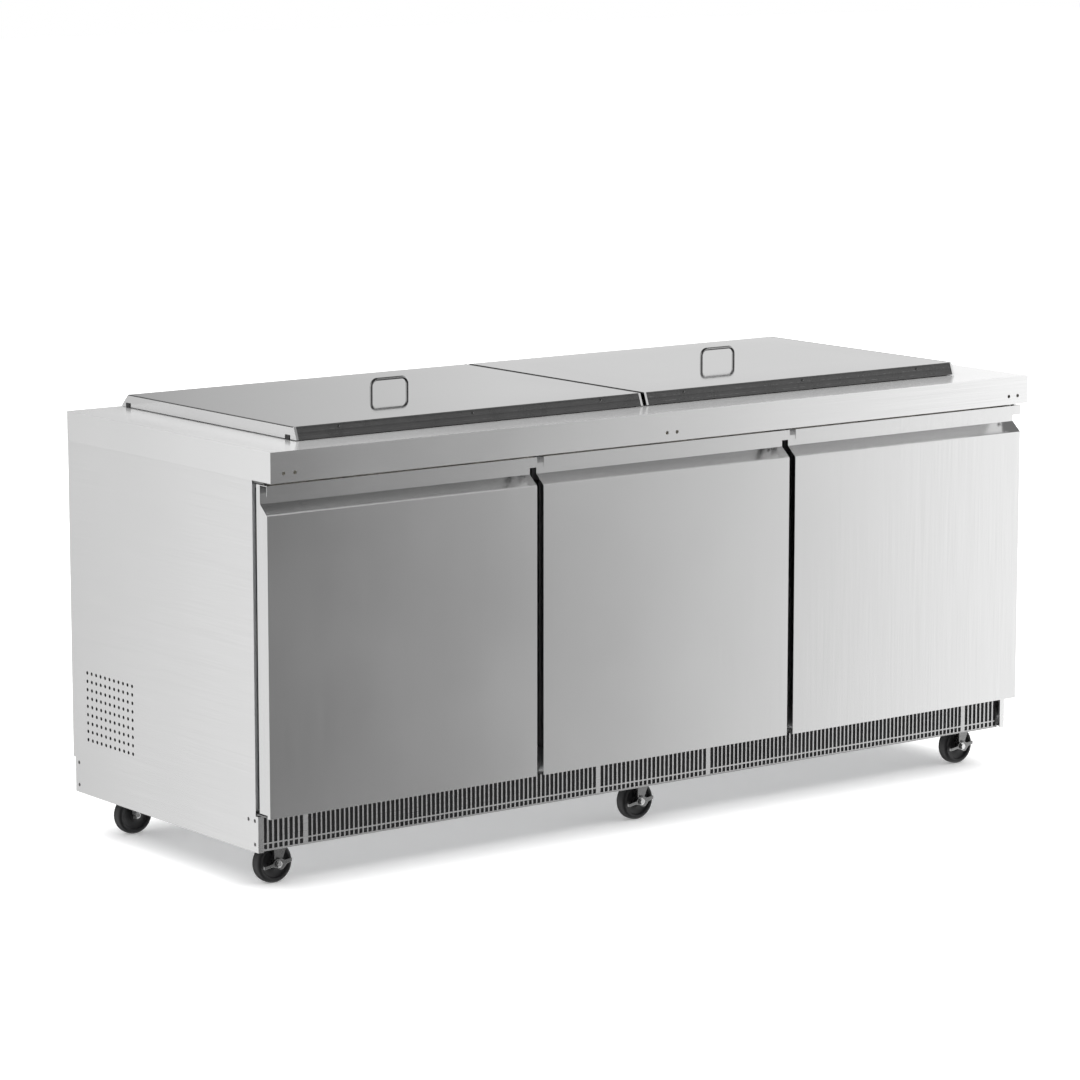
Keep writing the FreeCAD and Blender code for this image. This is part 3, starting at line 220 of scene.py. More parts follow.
def coating(name, colour, roughness, metallic=0.0, grain=900.0, depth=0.1, worn_colour=None, uneven=0.12):
    """Moulded plastic, rubber or paint: a fine skin texture, uneven gloss and wear at the edges.
    Uneven is how far the tone strays to each side."""
    g = Graph(name)
    g.shader.inputs["Metallic"].default_value = metallic
    skin = g.noise(grain, 2.0)
    clouds = g.noise(24.0, 4.0)
    tone = g.mix(g.spread(clouds, 0.0, 1.0), shade(colour, 1.0 - uneven), shade(colour, 1.0 + uneven))
    chipped = g.math("MULTIPLY", g.edges(), g.spread(g.noise(140.0, 3.0), 0.0, 1.0, 0.5, 0.62))
    g.colour(g.mix(chipped, tone, worn_colour or shade(colour, 1.5)))
    g.roughness(g.math("ADD", g.spread(clouds, roughness - 0.06, roughness + 0.06), g.spread(skin, -0.03, 0.03)))
    g.bump(skin, depth, 0.0003)
    return g.material


def copper(name):
    """Bare copper tube, browned in patches by heat and handling."""
    g = Graph(name)
    g.shader.inputs["Metallic"].default_value = 1.0
    patches = g.noise(30.0, 4.0)
    g.colour(g.mix(g.spread(patches, 0.0, 1.0, 0.4, 0.68), (0.74, 0.4, 0.26), (0.36, 0.17, 0.1)))
    g.roughness(g.spread(patches, 0.22, 0.5))
    g.bump(g.noise(400.0, 2.0), 0.05, 0.0002)
    return g.material


def foam(name):
    """Rigid foam with small closed cells."""
    g = Graph(name)
    cells = g.cells(420.0).outputs["Distance"]
    patches = g.noise(14.0, 3.0)
    g.colour(g.mix(g.spread(patches, 0.0, 1.0), (0.5, 0.47, 0.4), (0.58, 0.55, 0.48)))
    g.roughness(g.spread(cells, 0.8, 0.95, 0.0, 0.6))
    g.bump(cells, 0.4, 0.0006)
    return g.material


MATERIALS = {
    # the last value, 0.4, paints a lighter top on the worktop's upward faces
    "stainless_top": sheet_metal("stainless_top", (0.8, 0.8, 0.8), 0.17, "x", 0.02, 0.04, 0.4),
    "stainless_body": sheet_metal("stainless_body", (0.77, 0.77, 0.77), 0.17, "y", 0.015, 0.04),
    "stainless_door": sheet_metal("stainless_door", (0.72, 0.72, 0.72), 0.15, "z", 0.015, 0.04),
    "stainless_lid": sheet_metal("stainless_lid", (0.62, 0.62, 0.62), 0.055, "x", 0.004, 0.015),
    "galvanised_sheet": galvanised("galvanised_sheet", (0.62, 0.63, 0.64)),
    "grille_steel": sheet_metal("grille_steel", (0.66, 0.66, 0.66), 0.3, "x"),
    "foam": foam("foam"),
    "inner_aluminium": sheet_metal("inner_aluminium", (0.78, 0.79, 0.8), 0.36, "none", 0.08),
    "door_inner": coating("door_inner", (0.72, 0.73, 0.74), 0.35, grain=500.0, depth=0.04, uneven=0.02),
    "lid_inner": coating("lid_inner", (0.66, 0.67, 0.68), 0.38, grain=500.0, depth=0.04, uneven=0.02),
    "gasket_rubber": coating("gasket_rubber", (0.07, 0.07, 0.072), 0.55, grain=600.0),
    "foot_rubber": coating("foot_rubber", (0.03, 0.03, 0.03), 0.7, grain=700.0, depth=0.2),
    "handle_wire": sheet_metal("handle_wire", (0.42, 0.42, 0.42), 0.2, "none", 0.03),
    "shelf_wire": coating("shelf_wire", (0.7, 0.7, 0.69), 0.3, grain=300.0, depth=0.05, uneven=0.04),
    "screw_steel": sheet_metal("screw_steel", (0.24, 0.24, 0.24), 0.32, "none", 0.08),
    "caster_steel": sheet_metal("caster_steel", (0.27, 0.27, 0.27), 0.26, "none", 0.04),
    "wheel_rubber": coating("wheel_rubber", (0.014, 0.014, 0.015), 0.5, depth=0.15),
    "condenser_fins": sheet_metal("condenser_fins", (0.55, 0.56, 0.57), 0.4, "none", 0.1),
    "black_motor": coating("black_motor", (0.05, 0.05, 0.05), 0.4, 0.3),
    "fan_plastic": coating("fan_plastic", (0.03, 0.03, 0.032), 0.42),
    "compressor_black": coating("compressor_black", (0.018, 0.018, 0.018), 0.22, grain=120.0, depth=0.12),
    "copper_tube": copper("copper_tube"),
    "lid_trim": coating("lid_trim", (0.07, 0.07, 0.07), 0.3, 0.5, worn_colour=(0.3, 0.3, 0.3)),
    "filter_foam": coating("filter_foam", (0.015, 0.015, 0.016), 0.9, grain=350.0, depth=0.6),
    "black_plastic": coating("black_plastic", (0.02, 0.02, 0.02), 0.5),
}


# ---------------------------------------------------------------- mesh helpers

def body_of_node(node):
    return frame["nodes"][node]["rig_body"]


def paint(obj, slot, angle=35.0):
    """The slot's material, and smooth shading up to an angle."""
    mesh = obj.data
    mesh.materials.clear()
    mesh.materials.append(MATERIALS[slot])
    mesh.shade_smooth()
    mesh.set_sharp_from_angle(angle=math.radians(angle))


def object_of(name, bm):
    """An object in the scene, made from a bmesh that is then freed."""
    mesh = bpy.data.meshes.new(name)
    bm.to_mesh(mesh)
    bm.free()
    obj = bpy.data.objects.new(name, mesh)
    bpy.context.scene.collection.objects.link(obj)
    return obj


def new_object(name, bm, slot, body, angle=35.0):
    """A finished piece that moves with a body."""
    bmesh.ops.recalc_face_normals(bm, faces=bm.faces)
    bm.normal_update()
    obj = object_of(name, bm)
    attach(obj, body)
    paint(obj, slot, angle)
    return obj


def separate_solids(bm):
    """The mesh's unconnected lumps as lists of vertices, the largest first."""
    left = set(bm.verts)
    lumps = []
    while left:
        lump = set()
        waiting = [left.pop()]
        while waiting:
            vertex = waiting.pop()
            lump.add(vertex)
            for edge in vertex.link_edges:
                other = edge.other_vert(vertex)
                if other in left:
                    left.discard(other)
                    waiting.append(other)
        lumps.append(list(lump))
    return sorted(lumps, key=len, reverse=True)


def is_screw(lump):
    """Whether a lump of vertices is no larger than a screw."""
    return all(max(v.co[i] for v in lump) - min(v.co[i] for v in lump) < SCREW_REACH for i in range(3))


def drop_screws(bm):
    for lump in filter(is_screw, separate_solids(bm)):
        bmesh.ops.delete(bm, geom=lump, context="VERTS")


def soften(node, slot, width, segments=2, angle=30.0, leave_out=None):
    """A copy of a CAD part with small rounds on its folds and cut edges. The rounds are marked for wear.
    Leave_out takes away the solids that another piece stands for."""
    bm = bmesh.new()
    bm.from_mesh(frame["nodes"][node].data)
    bmesh.ops.remove_doubles(bm, verts=bm.verts, dist=WELD)
    if leave_out is not None:
        leave_out(bm)
    bmesh.ops.dissolve_limit(bm, angle_limit=FLAT, verts=bm.verts, edges=bm.edges)
    obj = object_of(node + "_formed", bm)
    mesh = obj.data
    mesh.shade_smooth()
    # the bevel gives its own faces the second material, which tells them from the flat ones
    mesh.materials.append(MATERIALS[slot])
    mesh.materials.append(MATERIALS[slot])
    bevel = obj.modifiers.new("folds", "BEVEL")
    bevel.limit_method = "ANGLE"
    bevel.angle_limit = math.radians(angle)
    bevel.width = width * MM
    bevel.segments = segments
    bevel.use_clamp_overlap = True
    bevel.material = 1
    weighted = obj.modifiers.new("flat_faces", "WEIGHTED_NORMAL")
    weighted.weight = 100
    graph = bpy.context.evaluated_depsgraph_get()
    formed = bpy.data.meshes.new_from_object(obj.evaluated_get(graph))
    obj.modifiers.clear()
    obj.data = formed
    bpy.data.meshes.remove(mesh)
    formed.name = obj.name
    marks = formed.attributes.new(EDGE_LAYER, "FLOAT", "FACE")
    marks.data.foreach_set("value", [float(p.material_index) for p in formed.polygons])
    for polygon in formed.polygons:
        polygon.material_index = 0
    formed.materials.clear()
    formed.materials.append(MATERIALS[slot])
    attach(obj, body_of_node(node))
    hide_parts(node)


# ---------------------------------------------------------------- sheet metal parts

# each node, with its slot and the width of its rounds in millimetres
SOFTENED = (
    ("worktop", "stainless_top", 1.0),
    ("pan_well_collar", "stainless_top", 0.4),
    ("pan_adapter_bars", "stainless_top", 1.2),
    ("side_panel_right", "stainless_body", 0.4),
    ("back_panel", "galvanised_sheet", 0.3),
    ("base_tray", "galvanised_sheet", 0.4),
    ("insulation", "foam", 0.8),
    ("liner", "inner_aluminium", 0.5),
    ("mullions", "stainless_body", 1.2),
    ("shelf_posts", "inner_aluminium", 0.3),
    ("hinge_brackets", "screw_steel", 0.3),
    ("caster_plates", "caster_steel", 0.4),
    ("evaporator_cover", "inner_aluminium", 0.6),
    ("evaporator_fan", "fan_plastic", 0.3),
    ("condenser_fan", "fan_plastic", 0.4),
    ("condenser_fan_motor", "black_motor", 0.8),
    ("grille_filter", "filter_foam", 0.4),
)

for node, slot, width in SOFTENED:
    soften(node, slot, width)
soften("plinth_skirts", "stainless_body", 0.9, leave_out=drop_screws)
for door in DOORS:
    soften(f"door_{door}_shell", "stainless_door", 0.8, 3)
    soften(f"door_{door}_core", "door_inner", 0.8)
for side in SIDES:
    soften(f"lid_{side}_shell", "stainless_lid", 0.6)
    soften(f"lid_{side}_core", "lid_inner", 1.0)
    soften(f"lid_{side}_feet", "foot_rubber", 1.0)
    soften(f"lid_{side}_front_trim", "lid_trim", 0.25, leave_out=drop_screws)
for corner in BRAKED:
    soften(f"caster_{corner}_brake", "caster_steel", 0.8)

# CAD parts that are shown as they are
PAINTED = {
    "side_panel_left": "stainless_body",
    "front_grille": "grille_steel",
    "shelves": "shelf_wire",
    "lid_left_handle": "handle_wire",
    "lid_right_handle": "handle_wire",
    "refrigerant_line": "copper_tube",
}
for node, slot in PAINTED.items():
    paint(frame["nodes"][node], slot)


# ---------------------------------------------------------------- shaped pieces

# Turns that take a shape made along Z to the named axis.
AXES = {
    "y": Matrix(((1, 0, 0, 0), (0, 0, 1, 0), (0, 1, 0, 0), (0, 0, 0, 1))),
    "z": Matrix.Identity(4),
}


def circle(segments, offset=0.0):
    """Angles of evenly spaced points round a circle."""
    return [2 * math.pi * (k + offset) / segments for k in range(segments)]


def join_rings(bm, first, second):
    """Faces between two rings of vertices."""
    count = len(first)
    for i in range(count):
        j = (i + 1) % count
        bm.faces.new((first[i], first[j], second[j], second[i]))


def add_block(bm, low, high):
    """A box between two corners given in millimetres."""
    corners = [bm.verts.new((x * MM, y * MM, z * MM))
               for z in (low[2], high[2]) for y in (low[1], high[1]) for x in (low[0], high[0])]
    for face in ((0, 2, 3, 1), (4, 5, 7, 6), (0, 1, 5, 4), (2, 6, 7, 3), (0, 4, 6, 2), (1, 3, 7, 5)):
        bm.faces.new([corners[i] for i in face])


def add_rings(bm, rings, closed):
    """Faces between rings of points, in millimetres. Closed joins the last ring to the first;
    otherwise both ends are capped."""
    made = [[bm.verts.new(Vector(point) * MM) for point in ring] for ring in rings]
    for first, second in zip(made, made[1:]):
        join_rings(bm, first, second)
    if closed:
        join_rings(bm, made[-1], made[0])
    else:
        bm.faces.new(list(reversed(made[0])))
        bm.faces.new(made[-1])


def add_turned(bm, profile, centre, axis, segments=48, closed=False):
    """A turned shape. The profile is (radius, height) along the axis; closed is for a ring with a hole."""
    place = Matrix.Translation(Vector(centre)) @ AXES[axis]
    rings = [[place @ Vector((radius * math.cos(a), radius * math.sin(a), height)) for a in circle(segments)]
             for radius, height in profile]
    add_rings(bm, rings, closed)


def add_tube(bm, points, radius, segments=12):
    """A round tube along points in one plane."""
    path = [Vector(p) for p in points]
    normal = Vector((0, 0, 1))
    for first, middle, last in zip(path, path[1:], path[2:]):
        cross = (middle - first).cross(last - middle)
        if cross.length > 1e-6:
            normal = cross.normalized()
            break
    rings = []
    for i, point in enumerate(path):
        ahead = (path[min(i + 1, len(path) - 1)] - path[max(i - 1, 0)]).normalized()
        if abs(ahead.dot(normal)) > 0.9:
            normal = Vector((1, 0, 0))
        side = ahead.cross(normal).normalized()
        up = side.cross(ahead)
        rings.append([point + radius * (math.cos(a) * side + math.sin(a) * up) for a in circle(segments)])
    add_rings(bm, rings, False)


def box_mm(node):
    low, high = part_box(node)
    return [v / MM for v in low], [v / MM for v in high]


def middle_of(node):
    low, high = box_mm(node)
    return [(a + b) / 2 for a, b in zip(low, high)]


def mirrored(profile):
    """A profile (radius, height) carried on to the other side of height 0."""
    return profile + [(radius, -height) for radius, height in reversed(profile)]


def make_wheel(corner):
    """Rubber tyre with a mould line round the tread and ribbed walls, on a core with recessed faces."""
    node = f"caster_{corner}_wheel"
    low, high = box_mm(node)
    centre = middle_of(node)
    rim = (high[2] - low[2]) / 2
    half = (high[1] - low[1]) / 2
    body = body_of_node(node)
    # each profile is (radius, height from the wheel's middle), from the front face to the middle or the back
    wall = [(rim - 9.2, -half + 0.9), (rim - 8.4, -half + 0.35), (rim - 6.2, -half + 0.3),
            (rim - 5.6, -half + 0.75), (rim - 4.9, -half + 0.35), (rim - 4.0, -half + 0.5),
            (rim - 2.2, -half + 1.6), (rim - 1.0, -half + 3.4), (rim - 0.3, -half + 5.6),
            (rim - 0.05, -half + 8.5), (rim - 0.05, -0.5), (rim, -0.3)]
    seat = [(rim - 9.6, half - 1.4), (rim - 9.6, 1.4 - half)]
    face = [(4.1, -half), (10.6, -half), (11.6, -half + 0.5), (12.6, -half + 3.2), (14.0, -half + 3.9),
            (26.0, -half + 3.9), (27.4, -half + 3.0), (28.2, -half + 1.1), (rim - 9.3, -half + 0.8)]
    segments = 64
    tyre = bmesh.new()
    add_turned(tyre, mirrored(wall) + seat, centre, "y", segments, closed=True)
    piece = new_object(f"caster_{corner}_tyre", tyre, "wheel_rubber", body)
    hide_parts(node)
    core = bmesh.new()
    add_turned(core, mirrored(face), centre, "y", segments, closed=True)
    new_object(f"caster_{corner}_core", core, "wheel_rubber", body)


def make_axle(corner):
    """Fork without its bolt, and the bolt with hexagon heads and washers."""
    fork = f"caster_{corner}_fork"
    body = body_of_node(fork)
    centre = middle_of(f"caster_{corner}_wheel")
    bolt_reach = 8.0 * MM
    shank_radius, shank_inset = 3.9, 1.0
    head_thick, head_chamfer = 3.0, 0.5
    head_face, head_edge, head_foot = 5.0, 6.0, 6.1
    washer_radius, washer_thick = 6.9, 0.95

    def on_axle(vertex):
        return math.hypot(vertex.co.x - centre[0] * MM, vertex.co.z - centre[2] * MM) < bolt_reach

    def drop_bolt(bm):
        """The bolt shares its edges with the legs' holes, so its faces go and the holes' walls are made again."""
        bolt_faces = [face for face in bm.faces if all(on_axle(v) for v in face.verts)]
        bmesh.ops.delete(bm, geom=bolt_faces, context="FACES")
        rims = [edge for edge in bm.edges if edge.is_boundary]
        for side in (-1, 1):
            rim = [edge for edge in rims if (edge.verts[0].co.y - centre[1] * MM) * side > 0]
            bmesh.ops.bridge_loops(bm, edges=rim)

    spots = [v.co.y / MM for v in frame["nodes"][fork].data.vertices if on_axle(v)]
    front, back = min(spots), max(spots)
    soften(fork, "caster_steel", 0.45, leave_out=drop_bolt)
    line = (centre[0], 0, centre[2])
    bolt = bmesh.new()
    add_turned(bolt, [(shank_radius, front + shank_inset), (shank_radius, back - shank_inset)], line, "y", 24)
    for outer, way in ((front, 1.0), (back, -1.0)):
        inner = outer + head_thick * way
        add_turned(bolt, [(head_face, outer), (head_edge, outer + head_chamfer * way), (head_foot, inner)],
                   line, "y", 6)
        add_turned(bolt, [(washer_radius, inner), (washer_radius, inner + washer_thick * way)], line, "y", 32)
    new_object(f"caster_{corner}_axle_bolt", bolt, "stainless_body", body, 25.0)


def screw_head(bm, place, radius, height):
    """A domed head with a cross recess. Place takes it from its own Z axis to the row frame."""
    segments = 24
    dome = ((1.0, 0.0), (1.0, 0.35), (0.93, 0.62), (0.8, 0.84), (0.7, 0.92))
    reach, half_slot = 0.56 * radius, 0.15 * radius
    pit_share, pit_level = 0.8, 0.3
    rings = [[bm.verts.new(place @ Vector((radius * share * math.cos(a), radius * share * math.sin(a),
                                           height * level)))
              for a in circle(segments, 0.5)]
             for share, level in dome]
    for first, second in zip(rings, rings[1:]):
        join_rings(bm, first, second)
    # one arm of the cross, turned four times
    arm = ((reach, -half_slot), (reach, half_slot), (half_slot, half_slot))
    cross = []
    for turn_x, turn_y in ((1, 0), (0, 1), (-1, 0), (0, -1)):
        cross += [(x * turn_x - y * turn_y, x * turn_y + y * turn_x) for x, y in arm]
    top = [bm.verts.new(place @ Vector((x, y, height))) for x, y in cross]
    pit = [bm.verts.new(place @ Vector((x * pit_share, y * pit_share, height * pit_level))) for x, y in cross]
    join_rings(bm, top, pit)
    bm.faces.new(pit)

    # the flat between the dome's last ring and the cross: one face for each side of the cross
    def nearest(corner):
        angle = math.atan2(corner[1], corner[0]) % (2 * math.pi)
        return int(round(angle / (2 * math.pi) * segments - 0.5)) % segments

    rim = rings[-1]
    for i, corner in enumerate(cross):
        j = (i + 1) % len(cross)
        start, stop = nearest(corner), nearest(cross[j])
        arc = [rim[start]]
        while start != stop:
            start = (start + 1) % segments
            arc.append(rim[start])
        bm.faces.new([top[j], top[i], *arc])


def make_screws(name, node, outward, height):
    """Cross-recess heads in the places of a node's plain screws. Outward gives the way that a head faces."""
    shank_share, overlap = 0.98, 0.01
    source = bmesh.new()
    source.from_mesh(frame["nodes"][node].data)
    bmesh.ops.remove_doubles(source, verts=source.verts, dist=WELD)
    heads = bmesh.new()
    for lump in filter(is_screw, separate_solids(source)):
        points = [v.co / MM for v in lump]
        centre = sum(points, Vector()) / len(points)
        way = outward(centre)
        radius = max(((p - centre) - way * (p - centre).dot(way)).length for p in points)
        front = max((p - centre).dot(way) for p in points)
        back = min((p - centre).dot(way) for p in points)
        turn = Vector((0, 0, 1)).rotation_difference(way).to_matrix().to_4x4()
        # each recess is turned differently, by where the screw is
        spin = Matrix.Rotation(0.7 + centre.x * 0.37 + centre.z * 0.11, 4, "Z")
        place = Matrix.Scale(MM, 4) @ Matrix.Translation(centre + way * (front - height)) @ turn @ spin
        screw_head(heads, place, radius, height)
        shank = Matrix.Translation(centre + way * back) @ turn
        shank_radius = radius * shank_share
        rings = [[shank @ Vector((shank_radius * math.cos(a), shank_radius * math.sin(a), level))
                  for a in circle(24)]
                 for level in (0.0, front - back - height + overlap)]
        add_rings(heads, rings, False)
    source.free()
    new_object(name, heads, "screw_steel", body_of_node(node), 40.0)


def make_gasket(door):
    """Magnetic seal: a flat foot on the door, a bellows and a soft hollow front, with mitred corners."""
    node = f"door_{door}_gasket"
    low, high = box_mm(node)
    deep = high[1] - low[1]
    seal_width = 18.0
    # half of the section: (share of the width from the outer edge, share of the depth from the door)
    half_section = [(0.94, 0.0), (0.94, 0.1), (0.7, 0.13), (0.7, 0.24), (0.86, 0.3), (0.86, 0.36), (0.7, 0.42),
                    (0.7, 0.5), (0.96, 0.56), (1.0, 0.66), (1.0, 0.9), (0.95, 0.98), (0.85, 1.0)]
    section = half_section + [(1.0 - share, level) for share, level in reversed(half_section)]
    corners = ((low[0], low[2], 1, 1), (high[0], low[2], -1, 1),
               (high[0], high[2], -1, -1), (low[0], high[2], 1, -1))
    rings = [[(x + way_x * share * seal_width, low[1] + level * deep, z + way_z * share * seal_width)
              for share, level in section]
             for x, z, way_x, way_z in corners]
    bm = bmesh.new()
    add_rings(bm, rings, True)
    piece = new_object(f"door_{door}_bellows", bm, "gasket_rubber", body_of_node(node), 50.0)
    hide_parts(node)


def make_condenser():
    """Finned block: thin fins, tubes through them with return bends, and two tube plates."""
    node = "condenser_coil"
    low, high = box_mm(node)
    body = body_of_node(node)
    front = low[1] + 19.0
    fin_count, fin_thick, fin_side = 66, 0.3, 3.0
    plate_back, plate_thick, plate_flange = 4.5, 1.4, 1.2
    tube_radius, tube_inset, first_tube, tube_pitch, tube_rows = 3.8, 13.0, 14.0, 21.0, 9
    bend_reach, bend_steps = 9.5, 10
    fins = bmesh.new()
    for i in range(fin_count):
        y = front + 1.0 + (high[1] - 5.0 - front) * i / (fin_count - 1)
        add_block(fins, (low[0] + fin_side, y, low[2] + 1.0), (high[0] - fin_side, y + fin_thick, high[2] - 5.0))
    piece = new_object("condenser_fins", fins, "condenser_fins", body)
    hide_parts(node)
    plates = bmesh.new()
    for y in (front - plate_back, high[1] - plate_back):
        add_block(plates, (low[0], y, low[2]), (high[0], y + plate_thick, high[2]))
        for x in (low[0], high[0] - plate_flange):
            add_block(plates, (x, y + plate_thick, low[2]), (x + plate_flange, y + plate_back, high[2]))
    new_object("condenser_tube_plates", plates, "condenser_fins", body)
    tubes = bmesh.new()
    start, end = front - 5.0, high[1] - 1.0
    columns = (low[0] + tube_inset, high[0] - tube_inset)
    for x in columns:
        for row in range(tube_rows):
            z = low[2] + first_tube + tube_pitch * row
            add_tube(tubes, [(x, start, z), (x, end, z)], tube_radius, 14)
    for x in columns:
        for row in range(0, tube_rows - 1, 2):
            z = low[2] + first_tube + tube_pitch * (row + 0.5)
            bend = [(x, start - bend_reach * math.sin(a), z - tube_pitch / 2 * math.cos(a))
                    for a in (math.pi * k / bend_steps for k in range(bend_steps + 1))]
            add_tube(tubes, bend, tube_radius, 14)
    new_object("condenser_tubes", tubes, "copper_tube", body, 50.0)


def make_evaporator():
    """Small finned coil behind the fan: fins across it and tubes along it."""
    node = "evaporator_coil"
    low, high = box_mm(node)
    body = body_of_node(node)
    fin_count, fin_thick, fin_end = 96, 0.3, 3.0
    plate_thick = 2.0
    tube_radius, tube_inset, first_tube, tube_pitch, tube_rows = 3.6, 12.0, 15.0, 22.0, 5
    fins = bmesh.new()
    run = high[0] - low[0] - 2 * fin_end - fin_thick
    for i in range(fin_count):
        x = low[0] + fin_end + run * i / (fin_count - 1)
        add_block(fins, (x, low[1] + 2.0, low[2] + 3.0), (x + fin_thick, high[1] - 2.0, high[2] - 3.0))
    for x in (low[0], high[0] - plate_thick):
        add_block(fins, (x, low[1], low[2]), (x + plate_thick, high[1], high[2]))
    piece = new_object("evaporator_fins", fins, "inner_aluminium", body)
    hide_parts(node)
    tubes = bmesh.new()
    for y in (low[1] + tube_inset, high[1] - tube_inset):
        for row in range(tube_rows):
            z = low[2] + first_tube + tube_pitch * row
            add_tube(tubes, [(low[0] + 0.5, y, z), (high[0] - 0.5, y, z)], tube_radius, 12)
    new_object("evaporator_tubes", tubes, "copper_tube", body, 50.0)


def make_compressor():
    """Two-part welded can with a seam flange, terminal box with a lid, foot plate on rubber bushes."""
    node = "compressor"
    low, high = box_mm(node)
    body = body_of_node(node)
    x, y = low[0] + 85.0, (low[1] + high[1]) / 2
    floor = low[2]
    radius = (high[1] - low[1]) / 2
    tall = high[2] - floor
    foot_span, foot_long, foot_wide = 65.0, 20.0, 60.0
    foot_low, foot_high, plate_high, plate_wide = 14.0, 17.0, 24.0, 40.0
    bush_out, bush_wide = (-75.0, 75.0), 48.0
    box_near, box_low, box_high, box_wide, cover_thick = 66.0, 72.0, 130.0, 24.0, 4.0
    # each profile is (radius, height above the bushes' feet)
    can_profile = [(2.0, 22.0), (30.0, 23.5), (52.0, 28.0), (67.0, 37.0), (radius - 2.5, 50.0),
                   (radius - 1.8, 98.0), (radius, 99.0), (radius, 104.0), (radius - 3.0, 105.5),
                   (radius - 3.6, 150.0), (66.0, 168.0), (50.0, tall - 9.0), (28.0, tall - 2.5), (2.0, tall)]
    bush_profile = [(9.5, 0.0), (9.5, 12.0), (7.5, 13.0), (7.5, 17.5), (9.0, 18.5), (9.0, 21.5), (4.0, 22.0)]
    can = bmesh.new()
    add_turned(can, can_profile, (x, y, floor), "z", 72)
    # a thin plate inside the can, out of sight
    add_turned(can, [(5.0, 60.0), (5.0, 61.0)], (x, y, floor), "z", 8)
    piece = new_object("compressor_can", can, "compressor_black", body, 40.0)
    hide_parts(node)
    base = bmesh.new()
    for foot_x in (low[0], x + foot_span):
        add_block(base, (foot_x, y - foot_wide, floor + foot_low),
                  (foot_x + foot_long, y + foot_wide, floor + foot_high))
    add_block(base, (low[0] + foot_long, y - plate_wide, floor + foot_high),
              (x + foot_span, y + plate_wide, floor + plate_high))
    new_object("compressor_foot_plate", base, "compressor_black", body)
    bushes = bmesh.new()
    for bush_x in bush_out:
        for bush_y in (-bush_wide, bush_wide):
            add_turned(bushes, bush_profile, (x + bush_x, y + bush_y, floor), "z", 24)
    new_object("compressor_bushes", bushes, "foot_rubber", body)
    terminal = bmesh.new()
    cover = high[0] - cover_thick
    add_block(terminal, (x + box_near, y - box_wide, floor + box_low), (cover, y + box_wide, floor + box_high))
    add_block(terminal, (cover, y - box_wide - 1.0, floor + box_low - 1.0),
              (high[0], y + box_wide + 1.0, floor + box_high + 1.0))
    bmesh.ops.bevel(terminal, geom=terminal.edges[:], offset=1.2 * MM, segments=2, affect="EDGES")
    new_object("compressor_terminal_box", terminal, "black_plastic", body)


def make_gland():
    """Cable gland: a threaded neck, a hexagon body and a round cap with a mouth. Each profile is
    (radius, distance from the inner end), with its number of sides."""
    node = "power_inlet_gland"
    low, _ = box_mm(node)
    centre = middle_of(node)
    profiles = (
        (32, ((7.9, 0.0), (7.9, 8.0))),
        (6, ((10.6, 7.7), (10.9, 8.3), (10.9, 11.2), (10.4, 11.8))),
        (36, ((8.6, 11.8), (8.6, 14.6), (7.2, 16.6), (5.2, 17.2), (4.2, 17.2), (4.0, 14.0))),
    )
    bm = bmesh.new()
    for sides, profile in profiles:
        add_turned(bm, profile, (centre[0], low[1], centre[2]), "y", sides)
    piece = new_object("power_gland_body", bm, "black_plastic", body_of_node(node), 25.0)
    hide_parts(node)


def out_of_side(centre):
    """The way out of the plinth skirt that a point is in."""
    return Vector((math.copysign(1, centre.x), 0, 0))


def out_of_lid_front(_):
    """The way out of a lid's sloping front."""
    return Vector((0, -0.934, 0.358))


for corner in CORNERS:
    make_wheel(corner)
    make_axle(corner)
for door in DOORS:
    make_gasket(door)
make_screws("skirt_screws", "plinth_skirts", out_of_side, 0.8)
for side in SIDES:
    make_screws(f"lid_{side}_trim_screws", f"lid_{side}_front_trim", out_of_lid_front, 1.2)
make_condenser()
make_evaporator()
make_compressor()
make_gland()


# ---------------------------------------------------------------- studio

# bearing from straight ahead of the doors, in degrees to the right, and how bright the wall is there
WALL_STOPS = (
    (-180, 0.1), (-160, 0.16), (-155, 0.3), (-149.4, 0.62), (-146.9, 0.78), (-142, 1.0), (-120, 1.0), (-90, 0.75),
    (-55, 0.12), (0, 0.04), (24, 0.03), (30, 0.09), (33.3, 0.175), (36.9, 0.35), (40.35, 0.68), (43.5, 1.02),
    (47, 1.2), (70, 1.1), (115, 0.95), (134, 0.85), (138, 0.64), (143.5, 0.6), (147.7, 0.42), (150, 0.26),
    (154, 0.14), (180, 0.1),
)
# share of straight up at which the wall starts to darken and where the ceiling's tone is reached
CEILING_FROM, CEILING_TO = 0.2, 0.88
CEILING_LEVEL = 0.05
ROOM_STRENGTH = 1.25
FLOOR_HALF = 30.0
# the floor's glow grows from near the table to far from it: (level, level), (metres, metres)
FLOOR_GLOW, FLOOR_GLOW_REACH = (0.27, 0.9), (1.6, 6.0)
LAMP_SIZE, LAMP_WATTS, LAMP_PLACE = (13.0, 11.0), 1020.0, (0.0, -0.2, 4.8)
CAMERA_LENS, CAMERA_SENSOR = 139.4, 36.0
CAMERA_PLACE, CAMERA_FORWARD = (-4.9214, -6.4528, 1.8593), (0.5939, 0.7878, -0.1630)


